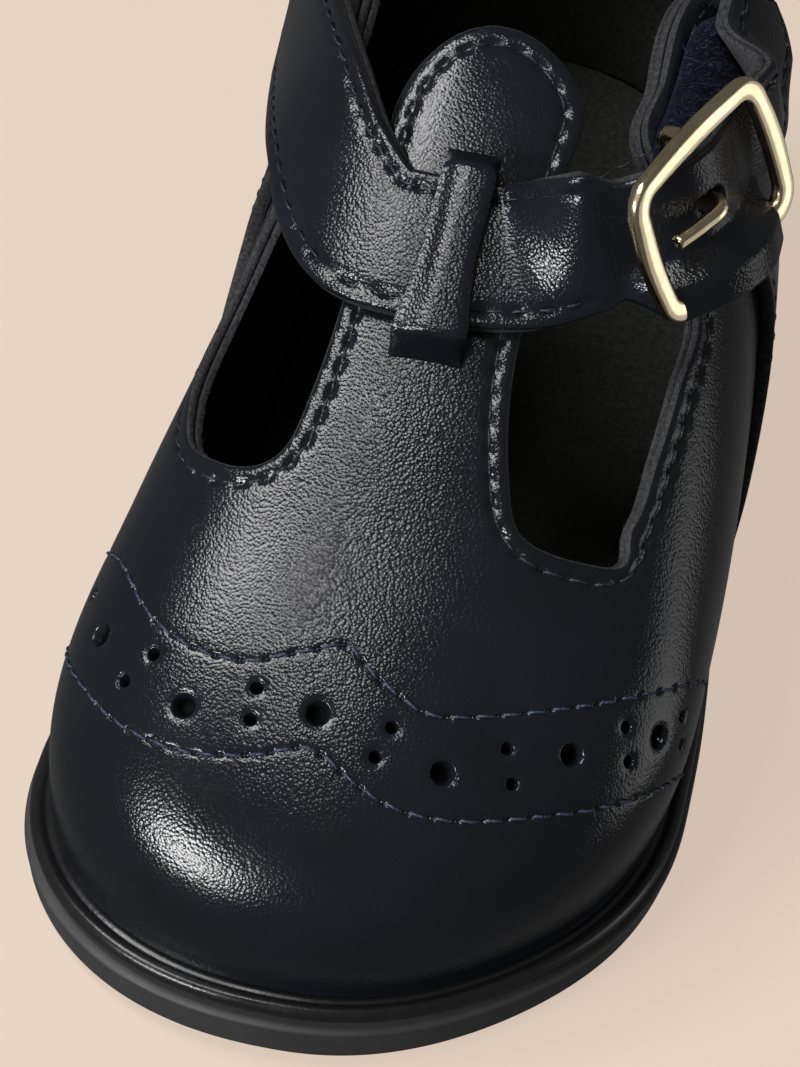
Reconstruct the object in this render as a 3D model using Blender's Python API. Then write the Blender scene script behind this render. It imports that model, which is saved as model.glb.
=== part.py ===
"""A toddler's T-bar shoe, left foot, standing on its sole.

The toe points to -Y, the outer (lateral) side is +X and +Z is up. The origin is under the middle of the
shoe, on the floor. Every piece is worked out from one last: the function last_point gives the upper's
outer surface, and the sole, straps and overlays follow it.
"""
from collections import namedtuple

import bmesh
import bpy
import numpy as np
from mathutils import Vector

MM = 0.001

# Driving sizes of the last and the sole
LENGTH = 138.0 * MM
BALL_WIDTH = 62.0 * MM
INSTEP_HEIGHT = 60.0 * MM
HEEL_THICKNESS = 13.5 * MM
FOREFOOT_THICKNESS = 5.8 * MM
TOE_SPRING = 2.4 * MM
UNDERSIDE_SPRING = 1.3 * MM
ARCH_HEIGHT = 3.0 * MM
TOE_CAP_DEPTH = 38.0 * MM
HEEL_CAP_DEPTH = 24.0 * MM
TOE_SPINE = 30.0 * MM
HEEL_SPINE = 22.0 * MM
TOE_ROUNDNESS = 2.2
HEEL_ROUNDNESS = 2.3
WELT_REACH = 2.1 * MM
SIDEWAYS = 1.45 * MM

# Sizes of the single pieces
GAP = 0.3 * MM
WALL = 1.8 * MM
OVERLAY = 1.2 * MM
PATCH_THICKNESS = 1.0 * MM
WELT_THICKNESS = 2.2 * MM
RIB_REACH = 0.35 * MM
RIB_TOP = 0.5 * MM
RIB_BOTTOM = 1.1 * MM
SOLE_CHAMFER = 0.8 * MM
INSOLE_RISE = 1.6 * MM
COLLAR_HEIGHT = 50.0 * MM
SLOT_ROUNDING = 6.0 * MM
TBAR_WIDTH = 17.6 * MM
STRAP_WIDTH = 14.5 * MM
STRAP_THICKNESS = 2.2 * MM
STRAP_NECK = 11.0 * MM
KEEPER_WIDTH = 7.5 * MM
KEEPER_THICKNESS = 1.4 * MM
KEEPER_LENGTH = 23.0 * MM
BUCKLE_LENGTH = 21.5 * MM
BUCKLE_SIDE_ROOM = 1.0 * MM
BUCKLE_LIFT = 1.4 * MM
BAR_WIDTH = 2.3 * MM
BAR_THICKNESS = 1.7 * MM
CENTRE_BAR_RADIUS = 0.8 * MM
PRONG_RADIUS = 0.8 * MM
PRONG_HOLE_RADIUS = 1.4 * MM
PRONG_REACH = 6.5 * MM
BULGE_HEIGHT = 2.6 * MM
BULGE_SPREAD = 0.42
MERGE_DISTANCE = 0.12 * MM
PATCH_WIDTH = 14.0 * MM
PATCH_END_CUT = 1.5 * MM

# How the strap stands at the buckle: degrees turned upright, and the distances from the buckle, as shares of
# its length, up to which it stands so and from which it lies down again
STRAP_TWIST = 34.0
STANCE_FULL = 0.45
STANCE_ENDS = 0.84

# The same for the strap's narrow neck in the buckle
NECK_FULL = 0.26
NECK_ENDS = 0.44

# Part of the radius at which a half-round end is cut off square
NARROWEST_END = 0.985

# How finely curved faces are divided
AROUND = 100
DENSEST_FROM_TOE = 0.42
DENSE_SPREAD = 0.19
DENSER_BY = 1.33
EDGE_SEARCH = 0.8
UP = 12
EVEN_HEIGHTS = 0.9
BISECTIONS = 12
STRAP_STEPS = 60
STRAP_ROWS = 4
PATCH_STEPS = 12
PATCH_ROWS = 6
KEEPER_STEPS = 22
KEEPER_ROWS = 2

# Sections of the last, heel (share 0) to toe (share 1). Widths are shares of half the ball width, centre and
# spine are sideways shifts as shares of the ball width, lift is the share of the way from forefoot to heel
# thickness, spring is the share of the toe spring, and the bulges are the walls' roundness on each side.
Section = namedtuple("Section", "share lateral medial centre spine lift spring bulge_lateral bulge_medial")
SECTIONS = (
    Section(0.000, 0.76, 0.76, 0.000, 0.000, 1.00, 0.00, 0.06, 0.06),
    Section(0.150, 0.79, 0.78, 0.000, 0.000, 0.94, 0.00, 0.12, 0.10),
    Section(0.350, 0.88, 0.76, 0.008, -0.030, 0.67, 0.00, 0.22, 0.13),
    Section(0.490, 0.92, 0.81, 0.005, -0.040, 0.35, 0.00, 0.25, 0.13),
    Section(0.670, 0.98, 0.98, 0.000, -0.032, 0.00, 0.00, 0.20, 0.12),
    Section(0.845, 1.00, 1.08, -0.035, -0.037, 0.00, 0.25, 0.17, 0.09),
    Section(1.000, 0.89, 1.08, -0.077, -0.048, 0.00, 1.00, 0.13, 0.04),
)

# Powers of the cross-section: side rules how upright the walls are, crown how flat the top is.
Roundness = namedtuple("Roundness", "share side crown")
ROUNDNESS = (
    Roundness(0.00, 2.3, 2.3),
    Roundness(0.35, 2.0, 2.1),
    Roundness(0.67, 2.2, 2.3),
    Roundness(1.00, 2.5, 2.4),
)

# Height of the last's ridge above the floor. from_toe is a share of the length, height of INSTEP_HEIGHT.
Ridge = namedtuple("Ridge", "from_toe height")
RIDGE = (
    Ridge(0.000, 0.430),
    Ridge(0.109, 0.515),
    Ridge(0.217, 0.635),
    Ridge(0.326, 0.790),
    Ridge(0.435, 0.945),
    Ridge(0.543, 1.080),
    Ridge(0.688, 1.200),
    Ridge(1.000, 1.330),
)

# Underside of the sole: raised is a share of ARCH_HEIGHT, share runs from heel to toe.
Underside = namedtuple("Underside", "share raised")
UNDERSIDE = (
    Underside(0.000, 0.0),
    Underside(0.270, 0.0),
    Underside(0.305, 0.8),
    Underside(0.380, 1.0),
    Underside(0.490, 0.6),
    Underside(0.590, 0.0),
    Underside(1.000, 0.0),
)

# Top line of the quarters and outer edge of the cut-outs. Heights are shares of COLLAR_HEIGHT.
TopLine = namedtuple("TopLine", "from_toe lateral medial")
TOP_LINE = (
    TopLine(0.230, 1.00, 1.00),
    TopLine(0.262, 0.77, 0.86),
    TopLine(0.300, 0.79, 0.775),
    TopLine(0.350, 0.85, 0.750),
    TopLine(0.400, 0.91, 0.740),
    TopLine(0.460, 0.98, 0.770),
    TopLine(0.495, 1.08, 0.850),
    TopLine(0.520, 1.17, 0.940),
    TopLine(0.580, 1.24, 1.120),
    TopLine(0.650, 1.28, 1.190),
    TopLine(0.720, 1.23, 1.170),
    TopLine(0.830, 1.07, 1.050),
    TopLine(1.000, 0.99, 0.990),
)

# The T-bar seen from above: half width as a share of half TBAR_WIDTH, centre as a share of the ball width.
TBar = namedtuple("TBar", "from_toe centre half")
TBAR = (
    TBar(0.240, -0.038, 1.50),
    TBar(0.290, -0.040, 1.22),
    TBar(0.340, -0.038, 1.05),
    TBar(0.400, -0.029, 0.98),
    TBar(0.510, -0.008, 1.02),
    TBar(0.600, 0.000, 1.02),
)
TAB_END = 0.572

# Front edge of the back quarter: height is a share of COLLAR_HEIGHT, from_toe of the length.
QuarterEdge = namedtuple("QuarterEdge", "height from_toe")
QUARTER_EDGE = (
    QuarterEdge(0.15, 0.440),
    QuarterEdge(0.40, 0.480),
    QuarterEdge(0.56, 0.520),
    QuarterEdge(0.70, 0.545),
    QuarterEdge(0.85, 0.542),
    QuarterEdge(1.05, 0.515),
    QuarterEdge(1.40, 0.500),
)

# Middle of the strap: across runs from the inner wall's foot (-1) over the ridge (0) to the outer wall's
# foot (1). on_quarter and on_patch say how far the strap is lifted by the back quarter and by the patch.
Route = namedtuple("Route", "across from_toe on_quarter on_patch")
STRAP_ROUTE = (
    Route(-0.600, 0.705, 1.00, 0.0),
    Route(-0.530, 0.655, 1.00, 0.0),
    Route(-0.450, 0.595, 1.00, 0.0),
    Route(-0.350, 0.530, 0.90, 0.0),
    Route(-0.250, 0.468, 0.15, 0.0),
    Route(-0.130, 0.426, 0.00, 0.0),
    Route(0.000, 0.418, 0.00, 0.0),
    Route(0.100, 0.424, 0.00, 0.1),
    Route(0.180, 0.443, 0.20, 0.6),
    Route(0.250, 0.474, 0.90, 1.0),
    Route(0.315, 0.520, 1.00, 1.0),
    Route(0.370, 0.572, 1.00, 1.0),
    Route(0.405, 0.628, 1.00, 1.0),
    Route(0.425, 0.685, 1.00, 1.0),
)
BUCKLE_AT = 0.720
PATCH_ROUTE = (
    Route(0.355, 0.505, 1.00, 0.0),
    Route(0.385, 0.560, 1.00, 0.0),
    Route(0.405, 0.620, 1.00, 0.0),
    Route(0.415, 0.655, 1.00, 0.0),
)
KEEPER_ACROSS = -0.02
KEEPER_MIDDLE = 0.416


def column(table, name):
    """One named column of a table as an array."""
    return np.array([getattr(row, name) for row in table])


def curve_through(x, known_x, known_y):
    """A smooth curve through a short table, level outside its ends."""
    x = np.asarray(x, float)
    slope = np.gradient(known_y, known_x)
    i = np.clip(np.searchsorted(known_x, x) - 1, 0, len(known_x) - 2)
    span = known_x[i + 1] - known_x[i]
    t = np.clip((x - known_x[i]) / span, 0, 1)
    start = (2 * t**3 - 3 * t**2 + 1) * known_y[i] + (t**3 - 2 * t**2 + t) * span * slope[i]
    end = (3 * t**2 - 2 * t**3) * known_y[i + 1] + (t**3 - t**2) * span * slope[i + 1]
    return start + end


def section(name, share):
    return curve_through(share, column(SECTIONS, "share"), column(SECTIONS, name))


def roundness(name, share):
    return curve_through(share, column(ROUNDNESS, "share"), column(ROUNDNESS, name))


def share_from_heel(y):
    return np.clip((LENGTH / 2 - y) / LENGTH, 0, 1)


def share_from_toe(y):
    return 1 - share_from_heel(y)


def centre_line(share):
    """Middle of the outline. SIDEWAYS brings the middle of the whole shoe over the origin."""
    return section("centre", share) * BALL_WIDTH + SIDEWAYS


def feather_height(y):
    """Height of the welt's top, on which the upper stands."""
    share = share_from_heel(y)
    thickness = FOREFOOT_THICKNESS + (HEEL_THICKNESS - FOREFOOT_THICKNESS) * section("lift", share)
    return thickness + TOE_SPRING * np.maximum(section("spring", share), 0)


def underside_height(y):
    share = share_from_heel(y)
    raised = np.interp(share, column(UNDERSIDE, "share"), column(UNDERSIDE, "raised"))
    return ARCH_HEIGHT * raised + UNDERSIDE_SPRING * np.maximum(section("spring", share), 0)


def ridge_height(y):
    ridge = curve_through(share_from_toe(y), column(RIDGE, "from_toe"), column(RIDGE, "height"))
    return INSTEP_HEIGHT * ridge


def end_cap(distance, depth, power):
    """Half width factor near a rounded end: 0 at the end, 1 from depth on."""
    rest = np.clip(1 - distance / depth, 0, 1)
    return (1 - rest**power) ** (1 / power)


def spread_angles():
    """Angles round the outline, closer together beside the cut-outs, the same on both sides."""
    fine = np.linspace(0, np.pi, 721)
    from_toe = (1 + np.cos(fine)) / 2
    weight = 1.0 + DENSER_BY * np.exp(-((from_toe - DENSEST_FROM_TOE) / DENSE_SPREAD) ** 2)
    walked = np.concatenate([[0], np.cumsum((weight[1:] + weight[:-1]) / 2)])
    half = np.interp(np.linspace(0, walked[-1], AROUND // 2 + 1), walked, fine)
    return np.concatenate([half, (2 * np.pi - half[1:-1])[::-1]])


def outline(angle, inset):
    """Plan outline. angle 0 is the heel's back and pi the toe's tip, with the outer side between them."""
    angle = np.asarray(angle, float)
    length = LENGTH - 2 * inset
    from_heel = (1 - np.cos(angle)) / 2 * length
    share = (inset + from_heel) / LENGTH
    outer = np.sin(angle) >= 0
    half = np.where(outer, section("lateral", share), section("medial", share)) * BALL_WIDTH / 2 - inset
    cap = end_cap(length - from_heel, TOE_CAP_DEPTH - inset, TOE_ROUNDNESS)
    cap = cap * end_cap(from_heel, HEEL_CAP_DEPTH - inset, HEEL_ROUNDNESS)
    x = centre_line(share) + np.where(outer, 1, -1) * half * cap
    y = LENGTH / 2 - inset - from_heel
    return x, y


def at_least(value, floor):
    """A soft maximum of the two lengths."""
    softness = floor * 0.2
    return floor + softness * np.logaddexp(0, (value - floor) / softness)


def last_point(angle, up):
    """The upper's outer surface: up is 0 at the feather line and 1 on the ridge."""
    foot_x, foot_y = outline(angle, WELT_REACH)
    from_toe = at_least(foot_y + LENGTH / 2, TOE_SPINE)
    from_heel = at_least(LENGTH - from_toe, HEEL_SPINE)
    ridge_y = LENGTH / 2 - from_heel
    ridge_share = share_from_heel(ridge_y)
    ridge_x = centre_line(ridge_share) + section("spine", ridge_share) * BALL_WIDTH
    share = share_from_heel(foot_y)
    side = np.sin(angle)
    bulge = section("bulge_lateral", share) * (1 + side) / 2 + section("bulge_medial", share) * (1 - side) / 2
    turn = np.asarray(up, float) * np.pi / 2
    reach = np.cos(turn) ** (2 / roundness("side", share)) + bulge * np.sin(2 * turn)
    rise = np.sin(turn) ** (2 / roundness("crown", share))
    x = ridge_x + (foot_x - ridge_x) * reach
    y = ridge_y + (foot_y - ridge_y) * reach
    foot_z = feather_height(y) + GAP
    z = foot_z + (ridge_height(y) - foot_z) * rise
    return np.stack(np.broadcast_arrays(x, y, z), -1)


def across_point(y, across):
    """The same surface by its length and its place across: -1 inner foot, 0 ridge, 1 outer foot."""
    along = (LENGTH / 2 - WELT_REACH - y) / (LENGTH - 2 * WELT_REACH)
    angle = np.arccos(1 - 2 * np.clip(along, 0, 1))
    angle = np.where(np.asarray(across) >= 0, angle, 2 * np.pi - angle)
    return last_point(angle, 1 - np.abs(across))


def collar_keep(points, outer):
    """Above zero where leather stays below the top line and outside the cut-outs."""
    share = share_from_toe(points[:, 1])
    known = column(TOP_LINE, "from_toe")
    lateral = curve_through(share, known, column(TOP_LINE, "lateral"))
    medial = curve_through(share, known, column(TOP_LINE, "medial"))
    return np.where(outer, lateral, medial) * COLLAR_HEIGHT - points[:, 2]


def tbar_keep(points):
    """Above zero inside the T-bar and its rounded tab, seen from above."""
    share = share_from_toe(points[:, 1])
    known = column(TBAR, "from_toe")
    middle = curve_through(share, known, column(TBAR, "centre")) * BALL_WIDTH + SIDEWAYS
    half = curve_through(share, known, column(TBAR, "half")) * TBAR_WIDTH / 2
    past = np.maximum(share * LENGTH - (TAB_END * LENGTH - half), 0)
    return half - np.hypot(points[:, 0] - middle, past)


def smooth_larger(a, b, width):
    blend = np.maximum(width - np.abs(a - b), 0) / width
    return np.maximum(a, b) + blend**2 * width / 4


def upper_keep(points, outer):
    return smooth_larger(collar_keep(points, outer), tbar_keep(points), SLOT_ROUNDING)


def quarter_keep(points, outer):
    """Above zero behind the back quarter's front edge and below the top line."""
    height = points[:, 2] / COLLAR_HEIGHT
    edge = curve_through(height, column(QUARTER_EDGE, "height"), column(QUARTER_EDGE, "from_toe"))
    behind = (share_from_toe(points[:, 1]) - edge) * LENGTH
    return np.minimum(behind, collar_keep(points, outer))


def last_grid():
    """Points, quads and side flags of the whole last surface, closed along its ridge."""
    angles = spread_angles()
    ups = (np.arange(UP + 1) / UP) ** EVEN_HEIGHTS
    points = last_point(angles[:, None], ups[None, :]).reshape(-1, 3)
    outer = np.repeat(np.sin(angles) >= 0, UP + 1)

    def index(i, j):
        i = i % AROUND
        if j == UP and i > AROUND // 2:
            i = AROUND - i
        return i * (UP + 1) + j

    quads = []
    for i in range(AROUND):
        for j in range(UP):
            quads.append((index(i, j), index(i + 1, j), index(i + 1, j + 1), index(i, j + 1)))
    return points, quads, outer


def clip_faces(points, faces, keep_at, outer):
    """Cuts faces along the line where keep_at is zero. Returns the new points and faces."""
    keep = keep_at(points, outer)
    points = [Vector(p) for p in points]
    made = {}
    kept = []

    def cut(i, j):
        key = (min(i, j), max(i, j))
        if key not in made:
            inside, outside = (i, j) if keep[i] > 0 else (j, i)
            low = 0.0
            high = 1.0
            for _ in range(BISECTIONS):
                middle = (low + high) / 2
                trial = np.array([points[inside].lerp(points[outside], middle)])
                if keep_at(trial, outer[inside])[0] > 0:
                    low = middle
                else:
                    high = middle
            points.append(points[inside].lerp(points[outside], low))
            made[key] = len(points) - 1
        return made[key]

    def edge_middle(a, b, centre, side):
        """A point of the cut line between two cut points, so that tight curves stay round."""
        chord = points[a].lerp(points[b], 0.5)
        away = (chord - centre) * EDGE_SEARCH
        low = -1.0
        high = 1.0
        if keep_at(np.array([chord + away * high]), side)[0] > 0:
            return None
        for _ in range(BISECTIONS):
            middle = (low + high) / 2
            if keep_at(np.array([chord + away * middle]), side)[0] > 0:
                low = middle
            else:
                high = middle
        points.append(chord + away * low)
        return len(points) - 1

    for face in faces:
        corners = []
        leaving = None
        entering = None
        for i, j in zip(face, face[1:] + face[:1]):
            if keep[i] > 0:
                corners.append(i)
            if i != j and (keep[i] > 0) != (keep[j] > 0):
                corners.append(cut(i, j))
                if keep[i] > 0:
                    leaving = corners[-1]
                else:
                    entering = corners[-1]
        corners = list(dict.fromkeys(corners))
        if len(corners) < 3:
            continue
        if leaving is not None and entering is not None and leaving != entering:
            centre = sum((points[i] for i in corners), Vector()) / len(corners)
            extra = edge_middle(leaving, entering, centre, outer[face[0]])
            if extra is not None:
                corners.insert(corners.index(leaving) + 1, extra)
        kept.append(corners)
    return points, kept


def make_material(name, colour, roughness_value, metallic=0.0):
    material = bpy.data.materials.new(name)
    material.use_nodes = True
    shader = material.node_tree.nodes["Principled BSDF"]
    shader.inputs["Base Color"].default_value = (*colour, 1.0)
    shader.inputs["Roughness"].default_value = roughness_value
    shader.inputs["Metallic"].default_value = metallic
    return material


def add_object(name, bm, material, sharp_degrees=40.0):
    """Turns a bmesh into an object with outward faces and smooth shading."""
    bmesh.ops.recalc_face_normals(bm, faces=bm.faces)
    if bm.calc_volume(signed=True) < 0:
        bmesh.ops.reverse_faces(bm, faces=bm.faces)
    mesh = bpy.data.meshes.new(name)
    bm.to_mesh(mesh)
    bm.free()
    mesh.materials.append(material)
    mesh.shade_smooth()
    mesh.set_sharp_from_angle(angle=np.radians(sharp_degrees))
    item = bpy.data.objects.new(name, mesh)
    bpy.context.scene.collection.objects.link(item)
    return item


def shell(points, faces, inner, outer, foot_stays_level=False):
    """A sheet thickened along its normals from inner to outer, with walls round its edges."""
    bm = bmesh.new()
    verts = [bm.verts.new(p) for p in points]
    for face in faces:
        bm.faces.new([verts[i] for i in face])
    loose = [v for v in bm.verts if not v.link_faces]
    bmesh.ops.delete(bm, geom=loose, context="VERTS")
    bmesh.ops.remove_doubles(bm, verts=bm.verts, dist=MERGE_DISTANCE)
    bmesh.ops.recalc_face_normals(bm, faces=bm.faces)
    bm.normal_update()
    middle = Vector((0, 0, HEEL_THICKNESS))
    facing = sum((v.co - middle).dot(v.normal) for v in bm.verts)
    sign = 1 if facing > 0 else -1
    sheet = list(bm.verts)
    rims = [e for e in bm.edges if e.is_boundary]
    sheet_faces = list(bm.faces)
    near = {}
    far = {}
    for v in sheet:
        normal = v.normal * sign
        foot = feather_height(v.co.y) + GAP
        if foot_stays_level and v.co.z < foot + 0.1 * GAP:
            normal = Vector((normal.x, normal.y, 0)).normalized()
        near[v] = v.co + normal * inner
        far[v] = v.co + normal * outer
    twin = {v: bm.verts.new(near[v]) for v in sheet}
    for v in sheet:
        v.co = far[v]
    for face in sheet_faces:
        bm.faces.new([twin[v] for v in reversed(face.verts)])
    for edge in rims:
        a, b = edge.verts
        bm.faces.new((a, b, twin[b], twin[a]))
    return bm


def ring_stack(rings, close_bottom, close_top):
    """Joins rings of the outline into a solid. The ends are closed by strips from side to side."""
    bm = bmesh.new()
    rows = [[bm.verts.new(p) for p in ring] for ring in rings]
    count = len(rows[0])
    for low, high in zip(rows, rows[1:]):
        for i in range(count):
            k = (i + 1) % count
            bm.faces.new((low[i], low[k], high[k], high[i]))
    ends = []
    if close_bottom:
        ends.append(rows[0])
    if close_top:
        ends.append(rows[-1])
    for row in ends:
        for i in range(count // 2):
            corners = [row[i], row[i + 1], row[-i - 1], row[-i % count]]
            bm.faces.new(list(dict.fromkeys(corners)))
    return bm


def outline_ring(inset, height):
    """Points of one ring. height is a function of y."""
    x, y = outline(spread_angles(), inset)
    return [Vector((a, b, c)) for a, b, c in zip(x, y, height(y))]


def deck_height(y):
    """Top of the outsole, under the welt."""
    return feather_height(y) - WELT_THICKNESS


def build_outsole(material):
    def above_floor(rise):
        return lambda y: underside_height(y) + rise

    def below_deck(drop):
        return lambda y: deck_height(y) - drop

    rings = [
        outline_ring(SOLE_CHAMFER, above_floor(0)),
        outline_ring(SOLE_CHAMFER * 0.15, above_floor(SOLE_CHAMFER)),
        outline_ring(0, below_deck(RIB_BOTTOM + RIB_REACH)),
        outline_ring(-RIB_REACH, below_deck(RIB_BOTTOM)),
        outline_ring(-RIB_REACH, below_deck(RIB_TOP)),
        outline_ring(RIB_REACH, below_deck(RIB_TOP * 0.5)),
        outline_ring(RIB_REACH * 2, below_deck(0)),
    ]
    return add_object("outsole", ring_stack(rings, True, True), material, 30.0)


def build_welt(material):
    """A rounded rand: its roll sticks out round the upper and its tail lies under the upper's edge."""
    low = GAP
    high = WELT_THICKNESS
    radius = (high - low) / 2
    centre = radius * 1.05
    inner = WELT_REACH + WALL + GAP

    def at(rise):
        return lambda y: deck_height(y) + rise

    roll = []
    for degrees in (-90, -50, 0, 50, 90):
        turn = np.radians(degrees)
        roll.append((centre - radius * np.cos(turn), low + radius + radius * np.sin(turn)))
    profile = [(inner, low)] + roll + [(inner, high)]
    rings = [outline_ring(inset, at(rise)) for inset, rise in profile]
    bm = ring_stack(rings + rings[:1], False, False)
    bmesh.ops.remove_doubles(bm, verts=bm.verts, dist=0.01 * MM)
    return add_object("welt", bm, material, 30.0)


def build_insole(material):
    inset = WELT_REACH + WALL + GAP * 3
    edge = INSOLE_RISE * 0.3
    rings = [
        outline_ring(inset, lambda y: deck_height(y) + GAP),
        outline_ring(inset, lambda y: feather_height(y) + INSOLE_RISE - edge),
        outline_ring(inset + edge, lambda y: feather_height(y) + INSOLE_RISE),
    ]
    return add_object("insole", ring_stack(rings, True, True), material, 30.0)


def build_upper(material):
    points, quads, outer = last_grid()
    cut_points, faces = clip_faces(points, quads, upper_keep, outer)
    bm = shell(cut_points, faces, -WALL, 0.0, foot_stays_level=True)
    return add_object("upper", bm, material, 45.0)


def build_back_quarter(material):
    points, quads, outer = last_grid()
    cut_points, faces = clip_faces(points, quads, quarter_keep, outer)
    bm = shell(cut_points, faces, GAP, GAP + OVERLAY, foot_stays_level=True)
    return add_object("back_quarter", bm, material, 45.0)


def resample(route, steps):
    """Even steps along a route: across, y and the two lifts."""
    across = column(route, "across")
    y = column(route, "from_toe") * LENGTH - LENGTH / 2
    middle = across_point(y, across)
    walked = np.concatenate([[0], np.cumsum(np.linalg.norm(np.diff(middle, axis=0), axis=1))])
    at = np.linspace(0, walked[-1], steps + 1)
    values = [curve_through(at, walked, v)
              for v in (across, y, column(route, "on_quarter"), column(route, "on_patch"))]
    return at, values


def surface_slopes(y, across):
    """Derivatives of the surface along y and across, by small steps."""
    step = 0.5 * MM
    turn = 0.004
    along = (across_point(y + step, across) - across_point(y - step, across)) / (2 * step)
    sideways = (across_point(y, across + turn) - across_point(y, across - turn)) / (2 * turn)
    return along, sideways


def no_stance(at, total):
    return 0.0 * at


def ribbon(route, steps, rows, half_width, lift, stance=no_stance):
    """Grid of points of a band that follows the last. half_width and lift are functions of the distance.

    Where stance nears 1 the band is a flat piece that turns upright by STRAP_TWIST about its lower edge.
    """
    at, (across, y, on_quarter, on_patch) = resample(route, steps)
    middle = across_point(y, across)
    tangent = np.gradient(middle, at, axis=0)
    along, sideways = surface_slopes(y, across)
    normal = np.cross(along, sideways)
    normal /= np.linalg.norm(normal, axis=1, keepdims=True)
    normal *= np.where(normal[:, 2:] < 0, -1, 1)
    width_way = np.cross(normal, tangent)
    width_way /= np.linalg.norm(width_way, axis=1, keepdims=True)
    free = stance(at, at[-1])[:, None]
    turn = np.radians(STRAP_TWIST) * free
    cover = GAP + on_quarter * (OVERLAY + GAP) + on_patch * (PATCH_THICKNESS + GAP)
    lower_edge = half_width(at, at[-1])[:, None] * np.sin(turn)
    base = middle + normal * (cover[:, None] + lower_edge)
    out = normal * np.cos(turn) - width_way * np.sin(turn)
    width_out = width_way * np.cos(turn) + normal * np.sin(turn)
    grid = []
    for k in range(steps + 1):
        basis = np.stack([along[k], sideways[k]], -1)
        rise = lift(at[k], at[-1])
        line = []
        for offset in np.linspace(-1, 1, rows + 1) * half_width(at[k], at[-1]):
            dy, da = np.linalg.lstsq(basis, width_way[k] * offset, rcond=None)[0]
            foot = across_point(y[k] + dy, across[k] + da) + normal[k] * (cover[k] + rise)
            flat = base[k] + width_out[k] * offset + out[k] * rise
            line.append(foot + (flat - foot) * free[k])
        grid.append(line)
    return np.array(grid), base, tangent, out


def grid_faces(steps, rows):
    stride = rows + 1
    faces = []
    for i in range(steps):
        for j in range(rows):
            a = i * stride + j
            faces.append((a, a + 1, a + stride + 1, a + stride))
    return faces


def band(name, grid, thickness, material):
    faces = grid_faces(grid.shape[0] - 1, grid.shape[1] - 1)
    bm = shell([Vector(p) for p in grid.reshape(-1, 3)], faces, 0.0, thickness)
    return add_object(name, bm, material, 45.0)


def rounded_end(distance, radius):
    """Half width near a half-round end of the given radius."""
    rest = np.clip(1 - distance / radius, 0, NARROWEST_END)
    return radius * np.sqrt(1 - rest**2)


def buckle_bump(at, total):
    """How high the strap rises over the buckle's centre bar."""
    away = np.clip(np.abs(at - BUCKLE_AT * total) / (BUCKLE_LENGTH * BULGE_SPREAD), 0, 1)
    return (1 + np.cos(np.pi * away)) / 2


def strap_half_width(at, total):
    """Full width, but narrowed to STRAP_NECK between the buckle's end bars."""
    away = np.abs(at - BUCKLE_AT * total) / BUCKLE_LENGTH
    ease = np.clip((NECK_ENDS - away) / (NECK_ENDS - NECK_FULL), 0, 1)
    ease = ease * ease * (3 - 2 * ease)
    half = (STRAP_WIDTH - (STRAP_WIDTH - STRAP_NECK) * ease) / 2
    return np.minimum(half, rounded_end(np.minimum(at, total - at), STRAP_WIDTH / 2))


def strap_stance(at, total):
    """1 where the buckle holds the strap flat, 0 where the strap lies on the quarter."""
    away = np.abs(at - BUCKLE_AT * total) / BUCKLE_LENGTH
    ease = np.clip((STANCE_ENDS - away) / (STANCE_ENDS - STANCE_FULL), 0, 1)
    return ease * ease * (3 - 2 * ease)


def strap_grid():
    return ribbon(STRAP_ROUTE, STRAP_STEPS, STRAP_ROWS, strap_half_width,
                  lambda at, total: BULGE_HEIGHT * buckle_bump(at, total), strap_stance)


def build_strap(material):
    grid = strap_grid()[0]
    return band("strap", grid, STRAP_THICKNESS, material)


def build_loop_patch(material):
    def half(at, total):
        from_end = np.minimum(at, total - at) + PATCH_END_CUT
        return np.minimum(PATCH_WIDTH / 2, rounded_end(from_end, PATCH_WIDTH / 2))

    grid = ribbon(PATCH_ROUTE, PATCH_STEPS, PATCH_ROWS, half, lambda at, total: 0.0)[0]
    return band("loop_patch", grid, PATCH_THICKNESS, material)


def build_keeper(material):
    """The raised strip of the T-bar: it lies on the T-bar at both ends and bridges the strap."""
    middle_y = (KEEPER_MIDDLE - 0.5) * LENGTH
    full_height_to = STRAP_WIDTH / 2 + 2 * GAP
    grid = []
    for t in np.linspace(-0.5, 0.5, KEEPER_STEPS + 1):
        y = middle_y + t * KEEPER_LENGTH
        past_strap = abs(t) * KEEPER_LENGTH - full_height_to
        away = np.clip(past_strap / (KEEPER_LENGTH / 2 - full_height_to), 0, 1)
        rise = (1 + np.cos(np.pi * away)) / 2
        lift = GAP + (STRAP_THICKNESS + 2 * GAP) * rise
        along, sideways = surface_slopes(y, KEEPER_ACROSS)
        normal = np.cross(sideways, along)
        normal *= np.sign(normal[2]) / np.linalg.norm(normal)
        reach = KEEPER_WIDTH / 2 / np.linalg.norm(sideways)
        places = KEEPER_ACROSS + reach * np.linspace(-1, 1, KEEPER_ROWS + 1)
        grid.append([across_point(y, place) + normal * lift for place in places])
    return band("keeper", np.array(grid), KEEPER_THICKNESS, material)


def tube(points, radius, sides=8):
    """A bent round bar with closed ends, as a bmesh."""
    bm = bmesh.new()
    points = [Vector(p) for p in points]
    rows = []
    guide = None
    for i, p in enumerate(points):
        way = (points[min(i + 1, len(points) - 1)] - points[max(i - 1, 0)]).normalized()
        if guide is None:
            guide = way.orthogonal().normalized()
        guide = (guide - way * guide.dot(way)).normalized()
        side = way.cross(guide)
        row = []
        for k in range(sides):
            turn = 2 * np.pi * k / sides
            row.append(bm.verts.new(p + (guide * np.cos(turn) + side * np.sin(turn)) * radius))
        rows.append(row)
    for low, high in zip(rows, rows[1:]):
        for k in range(sides):
            m = (k + 1) % sides
            bm.faces.new((low[k], low[m], high[m], high[k]))
    bm.faces.new(reversed(rows[0]))
    bm.faces.new(rows[-1])
    return bm


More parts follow.
